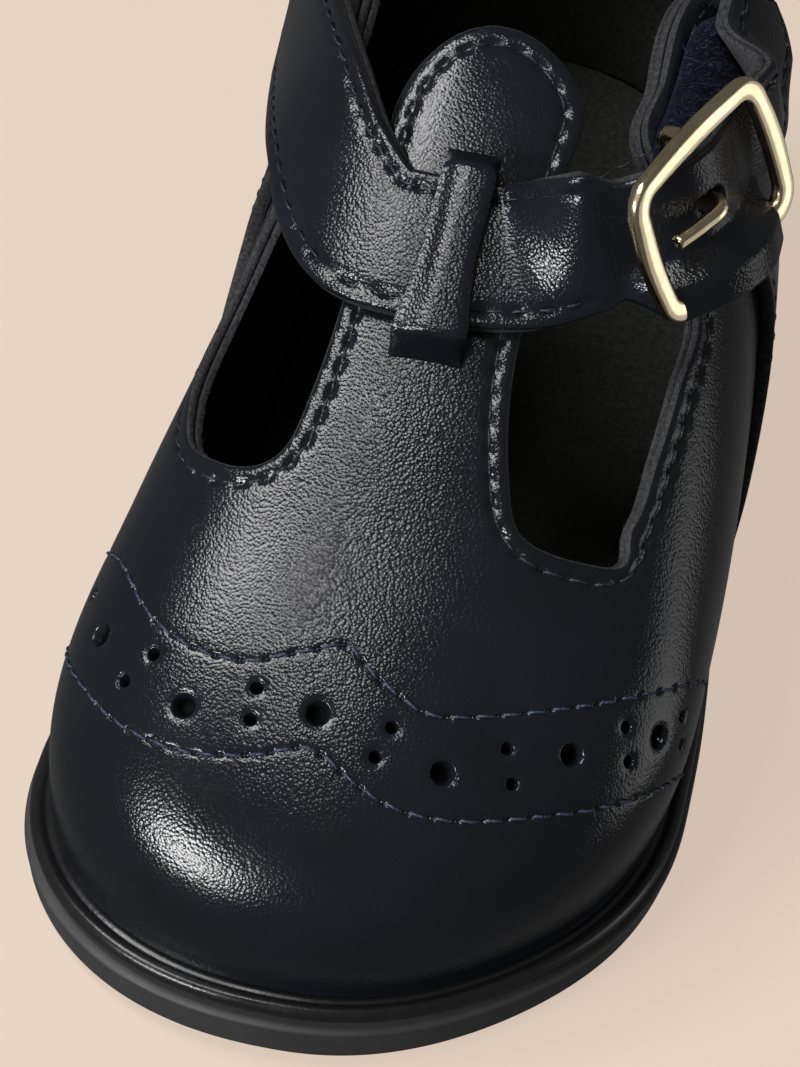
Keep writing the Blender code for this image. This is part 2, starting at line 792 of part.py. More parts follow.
def buckle_axes():
    """Place and directions of the buckle: origin on the strap's underside line, along, across and out."""
    base, tangent, out_way = strap_grid()[1:]
    k = int(round(BUCKLE_AT * STRAP_STEPS))
    along = Vector(tangent[k]).normalized()
    out = Vector(out_way[k]).normalized()
    out = (out - along * out.dot(along)).normalized()
    across = out.cross(along)
    return Vector(base[k]), along, across, out


def bowed_rectangle(length, width, bow, corner, steps=5):
    """Corners and bowed sides of the frame's outline, as pairs of along and across."""
    points = []
    for quarter in range(4):
        start = 90 * quarter
        diagonal = np.radians(start + 45)
        side_x = np.sign(np.cos(diagonal))
        side_y = np.sign(np.sin(diagonal))
        centre = np.array([side_x * (length / 2 - corner), side_y * (width / 2 - corner)])
        for k in range(steps + 1):
            turn = np.radians(start + 90 * k / steps)
            points.append(centre + corner * np.array([np.cos(turn), np.sin(turn)]))
        next_side = np.radians(start + 90)
        bowed = np.array([length / 2 + bow, width / 2 + bow])
        points.append(bowed * np.round([np.cos(next_side), np.sin(next_side)]))
    return points


def build_buckle_frame(material):
    """Four-sided frame with bowed bars, lying on the strap, and a centre bar that runs under it."""
    origin, along, across, out = buckle_axes()
    level = STRAP_THICKNESS + BUCKLE_LIFT
    inner_width = STRAP_NECK + 2 * BUCKLE_SIDE_ROOM
    inner_length = BUCKLE_LENGTH - 2 * BAR_WIDTH
    outer_ring = bowed_rectangle(BUCKLE_LENGTH, inner_width + 2 * BAR_WIDTH, BAR_WIDTH * 0.2, BAR_WIDTH * 1.6)
    inner_ring = bowed_rectangle(inner_length, inner_width, BAR_WIDTH * 0.1, BAR_WIDTH * 0.7)

    def place(pair, height):
        return origin + along * pair[0] + across * pair[1] + out * height

    bm = bmesh.new()
    loops = []
    for ring, height in ((outer_ring, level), (outer_ring, level + BAR_THICKNESS),
                         (inner_ring, level + BAR_THICKNESS), (inner_ring, level)):
        loops.append([bm.verts.new(place(pair, height)) for pair in ring])
    count = len(outer_ring)
    for a, b in zip(loops, loops[1:] + loops[:1]):
        for i in range(count):
            k = (i + 1) % count
            bm.faces.new((a[i], a[k], b[k], b[i]))
    frame = add_object("buckle_frame", bm, material, 35.0)

    reach = inner_width / 2 + BAR_WIDTH / 2
    bar_level = CENTRE_BAR_RADIUS
    path = [
        place((0, -reach), level + BAR_THICKNESS / 2),
        place((0, -reach), bar_level + CENTRE_BAR_RADIUS),
        place((0, -reach + CENTRE_BAR_RADIUS), bar_level),
        place((0, 0), bar_level),
        place((0, reach - CENTRE_BAR_RADIUS), bar_level),
        place((0, reach), bar_level + CENTRE_BAR_RADIUS),
        place((0, reach), level + BAR_THICKNESS / 2),
    ]
    bar = add_object("centre_bar_guide", tube(path, CENTRE_BAR_RADIUS), material, 35.0)
    bar.hide_render = True
    bar.display_type = "WIRE"
    join = frame.modifiers.new("centre bar", "BOOLEAN")
    join.operation = "UNION"
    join.solver = "EXACT"
    join.object = bar
    return frame


def cut_prong_hole(strap, material):
    """Punches the hole through which the prong leaves the strap."""
    origin, along, across, out = buckle_axes()
    low = origin - out * STRAP_THICKNESS
    high = origin + out * (3 * STRAP_THICKNESS + BULGE_HEIGHT)
    cutter = add_object("prong_hole_guide", tube([low, high], PRONG_HOLE_RADIUS, 12), material)
    cutter.hide_render = True
    cutter.display_type = "WIRE"
    cut = strap.modifiers.new("prong hole", "BOOLEAN")
    cut.operation = "DIFFERENCE"
    cut.solver = "EXACT"
    cut.object = cutter


def build_prong(material):
    """The prong rises from the centre bar through the strap's hole and lies down on the strap."""
    origin, along, across, out = buckle_axes()
    foot = 2 * CENTRE_BAR_RADIUS + GAP
    top = BULGE_HEIGHT + STRAP_THICKNESS + GAP + PRONG_RADIUS * 1.3
    path = [
        origin + out * foot,
        origin + out * (top - PRONG_RADIUS * 1.2),
        origin + out * top - along * PRONG_RADIUS,
        origin + out * (top - PRONG_RADIUS * 0.2) - along * (PRONG_REACH * 0.5),
        origin + out * (top - PRONG_RADIUS * 1.2) - along * PRONG_REACH,
    ]
    return add_object("buckle_prong", tube(path, PRONG_RADIUS), material, 35.0)


def main():
    for item in list(bpy.data.objects):
        bpy.data.objects.remove(item, do_unlink=True)
    rubber = make_material("sole_rubber", (0.035, 0.035, 0.036), 0.55)
    gloss = make_material("welt_gloss", (0.02, 0.02, 0.022), 0.2)
    leather = make_material("leather", (0.012, 0.015, 0.024), 0.4)
    sock = make_material("sock", (0.008, 0.008, 0.008), 0.8)
    gold = make_material("gold", (0.75, 0.6, 0.32), 0.2, 1.0)
    loop = make_material("loop_fabric", (0.008, 0.012, 0.045), 0.95)
    build_outsole(rubber)
    build_welt(gloss)
    build_insole(sock)
    build_upper(leather)
    build_back_quarter(leather)
    build_loop_patch(loop)
    strap = build_strap(leather)
    cut_prong_hole(strap, leather)
    build_keeper(leather)
    build_buckle_frame(gold)
    build_prong(gold)


main()
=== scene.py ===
"""Looks of a toddler's T-bar shoe: leather, stitching, punched holes, sole, buckle, floor and light.

Every shape follows the same last as the solids. The tables and functions of the first half repeat its
values, and the second half builds the pieces that are seen.
"""
from collections import namedtuple

import bmesh
import bpy
import numpy as np
from mathutils import Matrix, Vector
from mathutils.kdtree import KDTree


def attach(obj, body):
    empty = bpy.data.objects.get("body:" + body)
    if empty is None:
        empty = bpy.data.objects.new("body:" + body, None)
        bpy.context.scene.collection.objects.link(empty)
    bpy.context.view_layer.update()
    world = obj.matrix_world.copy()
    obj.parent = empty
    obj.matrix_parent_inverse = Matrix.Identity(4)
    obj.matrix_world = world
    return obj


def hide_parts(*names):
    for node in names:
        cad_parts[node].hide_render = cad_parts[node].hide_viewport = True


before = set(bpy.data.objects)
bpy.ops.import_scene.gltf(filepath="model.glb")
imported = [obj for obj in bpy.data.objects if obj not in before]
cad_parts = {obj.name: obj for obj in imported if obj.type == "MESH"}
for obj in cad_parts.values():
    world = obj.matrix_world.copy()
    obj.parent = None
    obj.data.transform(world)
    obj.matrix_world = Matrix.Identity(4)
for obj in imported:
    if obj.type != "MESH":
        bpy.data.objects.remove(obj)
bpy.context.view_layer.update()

MM = 0.001

# Sizes of the last and of the pieces, as in the solids
LENGTH = 138.0 * MM
BALL_WIDTH = 62.0 * MM
INSTEP_HEIGHT = 60.0 * MM
HEEL_THICKNESS = 13.5 * MM
FOREFOOT_THICKNESS = 5.8 * MM
TOE_SPRING = 2.4 * MM
UNDERSIDE_SPRING = 1.3 * MM
ARCH_HEIGHT = 3.0 * MM
TOE_CAP_DEPTH = 38.0 * MM
HEEL_CAP_DEPTH = 24.0 * MM
TOE_SPINE = 30.0 * MM
HEEL_SPINE = 22.0 * MM
TOE_ROUNDNESS = 2.2
HEEL_ROUNDNESS = 2.3
WELT_REACH = 2.1 * MM
SIDEWAYS = 1.45 * MM
GAP = 0.3 * MM
WALL = 1.8 * MM
OVERLAY = 1.2 * MM
PATCH_THICKNESS = 1.0 * MM
WELT_THICKNESS = 2.2 * MM
COLLAR_HEIGHT = 50.0 * MM
SLOT_ROUNDING = 6.0 * MM
TBAR_WIDTH = 17.6 * MM
STRAP_WIDTH = 14.5 * MM
STRAP_THICKNESS = 2.2 * MM
STRAP_NECK = 11.0 * MM
KEEPER_WIDTH = 7.5 * MM
BUCKLE_LENGTH = 21.5 * MM
BUCKLE_SIDE_ROOM = 1.0 * MM
BUCKLE_LIFT = 1.4 * MM
BAR_WIDTH = 2.3 * MM
BAR_THICKNESS = 1.7 * MM
CENTRE_BAR_RADIUS = 0.8 * MM
PRONG_RADIUS = 0.8 * MM
PRONG_REACH = 6.5 * MM
BULGE_HEIGHT = 2.6 * MM
BULGE_SPREAD = 0.42
PATCH_WIDTH = 14.0 * MM
PATCH_END_CUT = 1.5 * MM
TAB_END = 0.572
BUCKLE_AT = 0.720
KEEPER_ACROSS = -0.02
KEEPER_MIDDLE = 0.416
STRAP_TWIST = 34.0
STANCE_FULL = 0.45
STANCE_ENDS = 0.84
TAIL_STANCE = 0.78
NECK_FULL = 0.26
NECK_ENDS = 0.44


def table(kind, rows):
    return tuple(kind(*row) for row in rows)


Section = namedtuple("Section", "share lateral medial centre spine lift spring bulge_lateral bulge_medial")
SECTIONS = table(Section, (
    (0.000, 0.76, 0.76, 0.000, 0.000, 1.00, 0.00, 0.06, 0.06),
    (0.150, 0.79, 0.78, 0.000, 0.000, 0.94, 0.00, 0.12, 0.10),
    (0.350, 0.88, 0.76, 0.008, -0.030, 0.67, 0.00, 0.22, 0.13),
    (0.490, 0.92, 0.81, 0.005, -0.040, 0.35, 0.00, 0.25, 0.13),
    (0.670, 0.98, 0.98, 0.000, -0.032, 0.00, 0.00, 0.20, 0.12),
    (0.845, 1.00, 1.08, -0.035, -0.037, 0.00, 0.25, 0.17, 0.09),
    (1.000, 0.89, 1.08, -0.077, -0.048, 0.00, 1.00, 0.13, 0.04),
))
Roundness = namedtuple("Roundness", "share side crown")
ROUNDNESS = table(Roundness, (
    (0.00, 2.3, 2.3), (0.35, 2.0, 2.1), (0.67, 2.2, 2.3), (1.00, 2.5, 2.4),
))
Ridge = namedtuple("Ridge", "from_toe height")
RIDGE = table(Ridge, (
    (0.000, 0.430), (0.109, 0.515), (0.217, 0.635), (0.326, 0.790), (0.435, 0.945), (0.543, 1.080),
    (0.688, 1.200), (1.000, 1.330),
))
Underside = namedtuple("Underside", "share raised")
UNDERSIDE = table(Underside, (
    (0.000, 0.0), (0.270, 0.0), (0.305, 0.8), (0.380, 1.0), (0.490, 0.6), (0.590, 0.0),
    (1.000, 0.0),
))
TopLine = namedtuple("TopLine", "from_toe lateral medial")
TOP_LINE = table(TopLine, (
    (0.230, 1.00, 1.00), (0.262, 0.77, 0.86), (0.300, 0.79, 0.775), (0.350, 0.85, 0.750),
    (0.400, 0.91, 0.740), (0.460, 0.98, 0.770), (0.495, 1.08, 0.850), (0.520, 1.17, 0.940),
    (0.580, 1.24, 1.120), (0.650, 1.28, 1.190), (0.720, 1.23, 1.170), (0.830, 1.07, 1.050),
    (1.000, 0.99, 0.990),
))
TBar = namedtuple("TBar", "from_toe centre half")
TBAR = table(TBar, (
    (0.240, -0.038, 1.50), (0.290, -0.040, 1.22), (0.340, -0.038, 1.05), (0.400, -0.029, 0.98),
    (0.510, -0.008, 1.02), (0.600, 0.000, 1.02),
))
QuarterEdge = namedtuple("QuarterEdge", "height from_toe")
QUARTER_EDGE = table(QuarterEdge, (
    (0.15, 0.440), (0.40, 0.480), (0.56, 0.520), (0.70, 0.545), (0.85, 0.542), (1.05, 0.515),
    (1.40, 0.500),
))
Route = namedtuple("Route", "across from_toe on_quarter on_patch")
STRAP_ROUTE = table(Route, (
    (-0.600, 0.705, 1.00, 0.0), (-0.530, 0.655, 1.00, 0.0), (-0.450, 0.595, 1.00, 0.0),
    (-0.350, 0.530, 0.90, 0.0), (-0.250, 0.468, 0.15, 0.0), (-0.130, 0.426, 0.00, 0.0),
    (0.000, 0.418, 0.00, 0.0), (0.100, 0.424, 0.00, 0.1), (0.180, 0.443, 0.20, 0.6),
    (0.250, 0.474, 0.90, 1.0), (0.315, 0.520, 1.00, 1.0), (0.370, 0.572, 1.00, 1.0),
    (0.405, 0.628, 1.00, 1.0), (0.425, 0.685, 1.00, 1.0),
))
PATCH_ROUTE = table(Route, (
    (0.355, 0.505, 1.00, 0.0), (0.385, 0.560, 1.00, 0.0), (0.405, 0.620, 1.00, 0.0),
    (0.415, 0.655, 1.00, 0.0),
))

# Places on the vamp: degrees round the outline from the heel's back, over the outer side, and the share of
# the way from the foot of the wall up to the ridge.
Place = namedtuple("Place", "degrees up")
BAND_TOP = table(Place, (
    (243.5, 0.300), (236.0, 0.500), (227.7, 0.610), (218.6, 0.708), (208.5, 0.797), (198.4, 0.872),
    (182.1, 0.914), (163.6, 0.852), (153.8, 0.777), (146.6, 0.735), (137.5, 0.657), (129.4, 0.538),
    (117.7, 0.276), (113.0, 0.150),
))
BAND_LOW = table(Place, (
    (240.0, 0.140), (233.0, 0.270), (223.8, 0.412), (214.3, 0.507), (203.9, 0.599), (193.2, 0.680),
    (182.8, 0.735), (174.0, 0.691), (165.2, 0.627), (155.8, 0.563), (146.3, 0.490), (138.2, 0.393),
    (127.0, 0.220), (119.5, 0.080),
))
LARGE_HOLES = table(Place, (
    (229.3, 0.462), (210.4, 0.649), (183.7, 0.799), (155.4, 0.669), (137.8, 0.546), (127.8, 0.382),
))
SMALL_HOLES = table(Place, (
    (236.8, 0.368), (221.5, 0.618), (220.5, 0.538), (201.6, 0.780), (197.7, 0.733), (163.6, 0.780),
    (168.4, 0.733), (144.4, 0.646), (146.3, 0.579), (130.7, 0.485), (132.6, 0.423), (123.5, 0.331),
    (124.5, 0.273),
))
LARGE_HOLE = 1.28 * MM
SMALL_HOLE = 0.66 * MM
STITCH_PITCH = 2.5 * MM
SEAM_INSET = 1.7 * MM
LINE_STEP = 0.25 * MM
STITCH_DIP = 0.45 * MM
SEAM_SPREAD = 0.45 * MM


def column(rows, name):
    return np.array([getattr(row, name) for row in rows])


def unit(vectors):
    return vectors / (np.linalg.norm(vectors, axis=-1, keepdims=True) + 1e-12)


def curve_through(x, known_x, known_y):
    x = np.asarray(x, float)
    slope = np.gradient(known_y, known_x)
    i = np.clip(np.searchsorted(known_x, x) - 1, 0, len(known_x) - 2)
    span = known_x[i + 1] - known_x[i]
    t = np.clip((x - known_x[i]) / span, 0, 1)
    start = (2 * t**3 - 3 * t**2 + 1) * known_y[i] + (t**3 - 2 * t**2 + t) * span * slope[i]
    end = (3 * t**2 - 2 * t**3) * known_y[i + 1] + (t**3 - t**2) * span * slope[i + 1]
    return start + end


def smooth_step(value, low, high):
    t = np.clip((value - low) / (high - low), 0, 1)
    return t * t * (3 - 2 * t)


def read(rows, name, at):
    """A smooth curve through one column of a table, over its first column."""
    return curve_through(at, column(rows, rows[0]._fields[0]), column(rows, name))


def section(name, share):
    return read(SECTIONS, name, share)


def share_from_heel(y):
    return np.clip((LENGTH / 2 - y) / LENGTH, 0, 1)


def share_from_toe(y):
    return 1 - share_from_heel(y)


def centre_line(share):
    return section("centre", share) * BALL_WIDTH + SIDEWAYS


def feather_height(y):
    share = share_from_heel(y)
    thickness = FOREFOOT_THICKNESS + (HEEL_THICKNESS - FOREFOOT_THICKNESS) * section("lift", share)
    return thickness + TOE_SPRING * np.maximum(section("spring", share), 0)


def underside_height(y):
    share = share_from_heel(y)
    raised = np.interp(share, column(UNDERSIDE, "share"), column(UNDERSIDE, "raised"))
    return ARCH_HEIGHT * raised + UNDERSIDE_SPRING * np.maximum(section("spring", share), 0)


def deck_height(y):
    return feather_height(y) - WELT_THICKNESS


def ridge_height(y):
    return INSTEP_HEIGHT * read(RIDGE, "height", share_from_toe(y))


def end_cap(distance, depth, power):
    rest = np.clip(1 - distance / depth, 0, 1)
    return (1 - rest**power) ** (1 / power)


def outline(angle, inset):
    """Plan outline. angle 0 is the heel's back and pi the toe's tip, with the outer side between them."""
    angle = np.asarray(angle, float)
    length = LENGTH - 2 * inset
    from_heel = (1 - np.cos(angle)) / 2 * length
    share = (inset + from_heel) / LENGTH
    outer = np.sin(angle) >= 0
    half = np.where(outer, section("lateral", share), section("medial", share)) * BALL_WIDTH / 2 - inset
    cap = end_cap(length - from_heel, TOE_CAP_DEPTH - inset, TOE_ROUNDNESS)
    cap = cap * end_cap(from_heel, HEEL_CAP_DEPTH - inset, HEEL_ROUNDNESS)
    x = centre_line(share) + np.where(outer, 1, -1) * half * cap
    y = LENGTH / 2 - inset - from_heel
    return x, y


def at_least(value, floor):
    softness = floor * 0.2
    return floor + softness * np.logaddexp(0, (value - floor) / softness)


def last_point(angle, up):
    """The upper's outer surface: up is 0 at the feather line and 1 on the ridge."""
    foot_x, foot_y = outline(angle, WELT_REACH)
    from_toe = at_least(foot_y + LENGTH / 2, TOE_SPINE)
    from_heel = at_least(LENGTH - from_toe, HEEL_SPINE)
    ridge_y = LENGTH / 2 - from_heel
    ridge_share = share_from_heel(ridge_y)
    ridge_x = centre_line(ridge_share) + section("spine", ridge_share) * BALL_WIDTH
    share = share_from_heel(foot_y)
    side = np.sin(angle)
    bulge = section("bulge_lateral", share) * (1 + side) / 2
    bulge = bulge + section("bulge_medial", share) * (1 - side) / 2
    turn = np.clip(np.asarray(up, float), 0, 1) * np.pi / 2
    reach = np.maximum(np.cos(turn), 0) ** (2 / read(ROUNDNESS, "side", share)) + bulge * np.sin(2 * turn)
    rise = np.sin(turn) ** (2 / read(ROUNDNESS, "crown", share))
    x = ridge_x + (foot_x - ridge_x) * reach
    y = ridge_y + (foot_y - ridge_y) * reach
    foot_z = feather_height(y) + GAP
    z = foot_z + (ridge_height(y) - foot_z) * rise
    return np.stack(np.broadcast_arrays(x, y, z), -1)


def across_point(y, across):
    """The same surface by its length and its place across: -1 inner foot, 0 ridge, 1 outer foot."""
    along = (LENGTH / 2 - WELT_REACH - y) / (LENGTH - 2 * WELT_REACH)
    angle = np.arccos(1 - 2 * np.clip(along, 0, 1))
    angle = np.where(np.asarray(across) >= 0, angle, 2 * np.pi - angle)
    return last_point(angle, 1 - np.abs(across))


def collar_keep(points, outer):
    share = share_from_toe(points[..., 1])
    top = np.where(outer, read(TOP_LINE, "lateral", share), read(TOP_LINE, "medial", share))
    return top * COLLAR_HEIGHT - points[..., 2]


def tbar_keep(points):
    share = share_from_toe(points[..., 1])
    middle = read(TBAR, "centre", share) * BALL_WIDTH + SIDEWAYS
    half = read(TBAR, "half", share) * TBAR_WIDTH / 2
    past = np.maximum(share * LENGTH - (TAB_END * LENGTH - half), 0)
    return half - np.hypot(points[..., 0] - middle, past)


def smooth_larger(a, b, width):
    blend = np.maximum(width - np.abs(a - b), 0) / width
    return np.maximum(a, b) + blend**2 * width / 4


def upper_keep(angle, up):
    """Above zero where the upper has leather."""
    points = last_point(angle, up)
    return smooth_larger(collar_keep(points, np.sin(angle) >= 0), tbar_keep(points), SLOT_ROUNDING)


def quarter_keep(angle, up):
    """Above zero behind the back quarter's front edge and below the top line."""
    points = last_point(angle, up)
    edge = read(QUARTER_EDGE, "from_toe", points[..., 2] / COLLAR_HEIGHT)
    behind = (share_from_toe(points[..., 1]) - edge) * LENGTH
    return np.minimum(behind, collar_keep(points, np.sin(angle) >= 0))


# Sheets cut out of the last's surface

def even_angles(count):
    """Angles round the outline at even distances, the same on both sides."""
    fine = np.linspace(0, np.pi, 2001)
    walked = np.zeros(len(fine))
    for side in (fine, 2 * np.pi - fine):
        x, y = outline(side, WELT_REACH)
        walked[1:] += np.cumsum(np.hypot(np.diff(x), np.diff(y)))
    half = np.interp(np.linspace(0, walked[-1], count // 2 + 1), walked, fine)
    return np.concatenate([half, (2 * np.pi - half[:-1])[::-1]])


def even_ups(angles, rows):
    """For each angle, shares up the wall at even distances."""
    fine = np.linspace(0, 1, 161) ** 1.6
    points = last_point(angles[:, None], fine[None, :])
    steps = np.linalg.norm(np.diff(points, axis=1), axis=2)
    walked = np.concatenate([np.zeros((len(angles), 1)), np.cumsum(steps, axis=1)], axis=1)
    goal = np.linspace(0, 1, rows + 1)
    return np.array([np.interp(goal * w[-1], w, fine) for w in walked])


def slopes(function, angle, up):
    """Derivatives of a function of angle and up."""
    turn = 0.002
    low = np.maximum(up - 0.001, 0)
    high = np.minimum(up + 0.001, 1)
    by_angle = (function(angle + turn, up) - function(angle - turn, up)) / (2 * turn)
    difference = function(angle, high) - function(angle, low)
    span = high - low
    if difference.ndim > span.ndim:
        span = span[..., None]
    return by_angle, difference / span


def settle(keep_at, angle, up, limit):
    """Moves points that lie within limit of the cut line onto it. Returns which ones they are."""
    def pull(a, u):
        keep = keep_at(a, u)
        keep_a, keep_u = slopes(keep_at, a, u)
        point_a, point_u = slopes(last_point, a, u)
        grow_a = keep_a / (np.linalg.norm(point_a, axis=-1) ** 2 + 1e-12)
        grow_u = keep_u / (np.linalg.norm(point_u, axis=-1) ** 2 + 1e-12)
        steep = keep_a * grow_a + keep_u * grow_u + 1e-12
        return keep, grow_a, grow_u, steep

    keep, grow_a, grow_u, steep = pull(angle, up)
    near = np.abs(keep) / np.sqrt(steep) < limit
    near[:, 0] = False
    near[:, -1] = False
    a = angle[near]
    u = up[near]
    for _ in range(3):
        keep, grow_a, grow_u, steep = pull(a, u)
        a = a - keep / steep * grow_a
        u = np.clip(u - keep / steep * grow_u, 0, 1)
    angle[near] = a
    up[near] = u
    return near


Sheet = namedtuple("Sheet", "angle up points normals faces loops")


def cut_sheet(keep_at, count, rows):
    """The last's surface where keep_at is above zero, cut exactly along its zero line."""
    angles = even_angles(count)
    angle = np.repeat(angles[:, None], rows + 1, axis=1)
    up = even_ups(angles, rows)
    spacing = 0.3 * LENGTH * 2.5 / count
    near = settle(keep_at, angle, up, spacing)
    near[-1] = near[0]
    state = np.sign(keep_at(angle, up)).astype(int)
    state[near] = 0

    i, j = np.meshgrid(np.arange(count), np.arange(rows), indexing="ij")
    corner_i = np.stack([i, i, i + 1, i + 1], -1).reshape(-1, 4)
    corner_j = np.stack([j, j + 1, j + 1, j], -1).reshape(-1, 4)
    wrapped = corner_i % count
    wrapped = np.where((corner_j == rows) & (wrapped > count // 2), count - wrapped, wrapped)
    ids = wrapped * (rows + 1) + corner_j
    states = state[corner_i, corner_j]
    whole = (states.min(axis=1) >= 0) & (states.max(axis=1) > 0)
    mixed = (states.min(axis=1) < 0) & (states.max(axis=1) > 0)
    faces = [list(dict.fromkeys(face)) for face in ids[whole].tolist()]

    all_angle = list(angle[:-1].reshape(-1))
    all_up = list(up[:-1].reshape(-1))
    first_new = len(all_angle)
    cuts = {}
    ends = []
    for face in np.nonzero(mixed)[0]:
        corners = []
        for k in range(4):
            m = (k + 1) % 4
            here = states[face, k]
            there = states[face, m]
            if here >= 0:
                corners.append(int(ids[face, k]))
            if here * there < 0:
                key = tuple(sorted((int(ids[face, k]), int(ids[face, m]))))
                if key not in cuts:
                    cuts[key] = first_new + len(ends)
                    inside, outside = (k, m) if here > 0 else (m, k)
                    place = []
                    for corner in (inside, outside):
                        at = corner_i[face, corner], corner_j[face, corner]
                        place.extend((angle[at], up[at]))
                    ends.append(place)
                corners.append(cuts[key])
        corners = list(dict.fromkeys(corners))
        if len(corners) > 2:
            faces.append(corners)
    if ends:
        ends = np.array(ends)
        way = ends[:, 2:] - ends[:, :2]
        low = np.zeros((len(ends), 1))
        high = np.ones((len(ends), 1))
        for _ in range(16):
            middle = (low + high) / 2
            place = ends[:, :2] + way * middle
            inside = keep_at(place[:, 0], place[:, 1])[:, None] > 0
            low = np.where(inside, middle, low)
            high = np.where(inside, high, middle)
        place = ends[:, :2] + way * low
        all_angle.extend(place[:, 0])
        all_up.extend(place[:, 1])

    faces = [face for face in faces if len(face) > 2]
    used = np.unique(np.concatenate([np.array(face) for face in faces]))
    renumber = {int(old): new for new, old in enumerate(used)}
    faces = [[renumber[k] for k in face] for face in faces]
    angle = np.array(all_angle)[used]
    up = np.array(all_up)[used]
    points = last_point(angle, up)
    normals = sheet_normals(points, faces)
    return Sheet(angle, up, points, normals, faces, edge_loops(faces))


def sheet_normals(points, faces):
    """Vertex normals of a sheet, pointing away from the shoe's inside."""
    mesh = bpy.data.meshes.new("sheet_normals")
    mesh.from_pydata(points.tolist(), [], faces)
    mesh.update()
    normals = np.empty(len(points) * 3)
    mesh.vertex_normals.foreach_get("vector", normals)
    bpy.data.meshes.remove(mesh)
    normals = normals.reshape(-1, 3)
    inside = np.array([0, 0, HEEL_THICKNESS])
    if np.sum((points - inside) * normals) < 0:
        normals = -normals
    return normals


def edge_loops(faces):
    """The sheet's edges as closed lists of vertices, in the faces' direction."""
    directed = set()
    for face in faces:
        for a, b in zip(face, face[1:] + face[:1]):
            directed.add((a, b))
    after = {a: b for a, b in directed if (b, a) not in directed}
    loops = []
    while after:
        start = next(iter(after))
        loop = [start]
        b = after.pop(start)
        while b != start and b in after:
            loop.append(b)
            b = after.pop(b)
        loops.append(loop)
    return loops


def outward_along(points, normals, loop):
    """In the sheet and square to its edge, pointing off the sheet, for each vertex of the loop."""
    ahead_2, ahead, behind, behind_2 = [np.roll(points[loop], step, axis=0) for step in (-2, -1, 1, 2)]
    way = ahead_2 + ahead - behind - behind_2
    return unit(np.cross(way, normals[loop]))


def show(item):
    bpy.context.scene.collection.objects.link(item)


def make_object(name, points, faces, materials, face_material=None, sharp=50.0, closed=True):
    """A smooth-shaded mesh that rides on the shoe. A closed one gets its faces turned outwards."""
    mesh = bpy.data.meshes.new(name)
    mesh.from_pydata(np.asarray(points).tolist(), [], faces)
    for material in materials:
        mesh.materials.append(material)
    if face_material is not None:
        mesh.polygons.foreach_set("material_index", face_material)
    if closed:
        bm = bmesh.new()
        bm.from_mesh(mesh)
        bmesh.ops.recalc_face_normals(bm, faces=bm.faces)
        bm.to_mesh(mesh)
        bm.free()
    mesh.validate()
    mesh.shade_smooth()
    mesh.set_sharp_from_angle(angle=np.radians(sharp))
    mesh.update()
    item = bpy.data.objects.new(name, mesh)
    show(item)
    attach(item, "root")
    return item


def rimmed_object(name, sheet, points, normals, faces, rim, materials, face_material, inner=False):
    """A sheet with a rounded cut edge. rim lists (off, down) of each line of it, in millimetres."""
    all_points = [points]
    made = []
    count = len(points)
    for loop in sheet.loops:
        off = outward_along(sheet.points, normals, loop)
        low = sheet.up[loop] < 1e-6
        off[low] = 0
        line = list(loop)
        for out, down in rim:
            all_points.append(points[loop] + off * out * MM - normals[loop] * down * MM)
            fresh = list(range(count, count + len(loop)))
            count += len(loop)
            for k in range(len(loop)):
                m = (k + 1) % len(loop)
                corners = [line[m], line[k], fresh[k], fresh[m]]
                made.append(corners[::-1] if inner else corners)
            line = fresh
    face_material = face_material + [len(materials) - 1] * len(made)
    return make_object(name, np.concatenate(all_points), faces + made, materials, face_material,
                       closed=False)


# Lines and stitches on the last

def last_normal(angle, up):
    by_angle, by_up = slopes(last_point, angle, up)
    normal = unit(np.cross(by_angle, by_up))
    away = last_point(angle, up) - np.array([0, 0, HEEL_THICKNESS])
    return np.where(np.sum(away * normal, axis=-1, keepdims=True) < 0, -normal, normal)


def shares_of(one, two, goal):
    """How much of each of two surface directions makes up the goal."""
    aa = np.sum(one * one, -1)
    ab = np.sum(one * two, -1)
    bb = np.sum(two * two, -1)
    ra = np.sum(goal * one, -1)
    rb = np.sum(goal * two, -1)
    determinant = aa * bb - ab * ab + 1e-18
    return (bb * ra - ab * rb) / determinant, (aa * rb - ab * ra) / determinant


def nearest_on_last(points, angle, up):
    """Angles and ups of the surface points nearest to the given points, from a first guess."""
    for _ in range(5):
        by_angle, by_up = slopes(last_point, angle, up)
        turn, climb = shares_of(by_angle, by_up, points - last_point(angle, up))
        angle = angle + np.clip(turn, -0.1, 0.1)
        up = np.clip(up + np.clip(climb, -0.1, 0.1), 0, 1)
    return angle, up


def walked(points):
    return np.concatenate([[0], np.cumsum(np.linalg.norm(np.diff(points, axis=0), axis=1))])


def read_along(goal, at, values):
    return np.stack([np.interp(goal, at, values[:, k]) for k in range(3)], -1)


def resampled(points, normals):
    """The same line at even steps, with its normals."""
    at = walked(points)
    goal = np.linspace(0, at[-1], max(int(at[-1] / LINE_STEP), 2) + 1)
    return read_along(goal, at, points), unit(read_along(goal, at, normals))


def smoothed(values, times):
    values = values.copy()
    for _ in range(times):
        values[1:-1] = (values[:-2] + 2 * values[1:-1] + values[2:]) / 4
    return values


def circle(middle, one, two, radius, sides, start=0.0):
    turns = start + 2 * np.pi * np.arange(sides) / sides
    return middle + radius * (np.cos(turns)[:, None] * one + np.sin(turns)[:, None] * two)


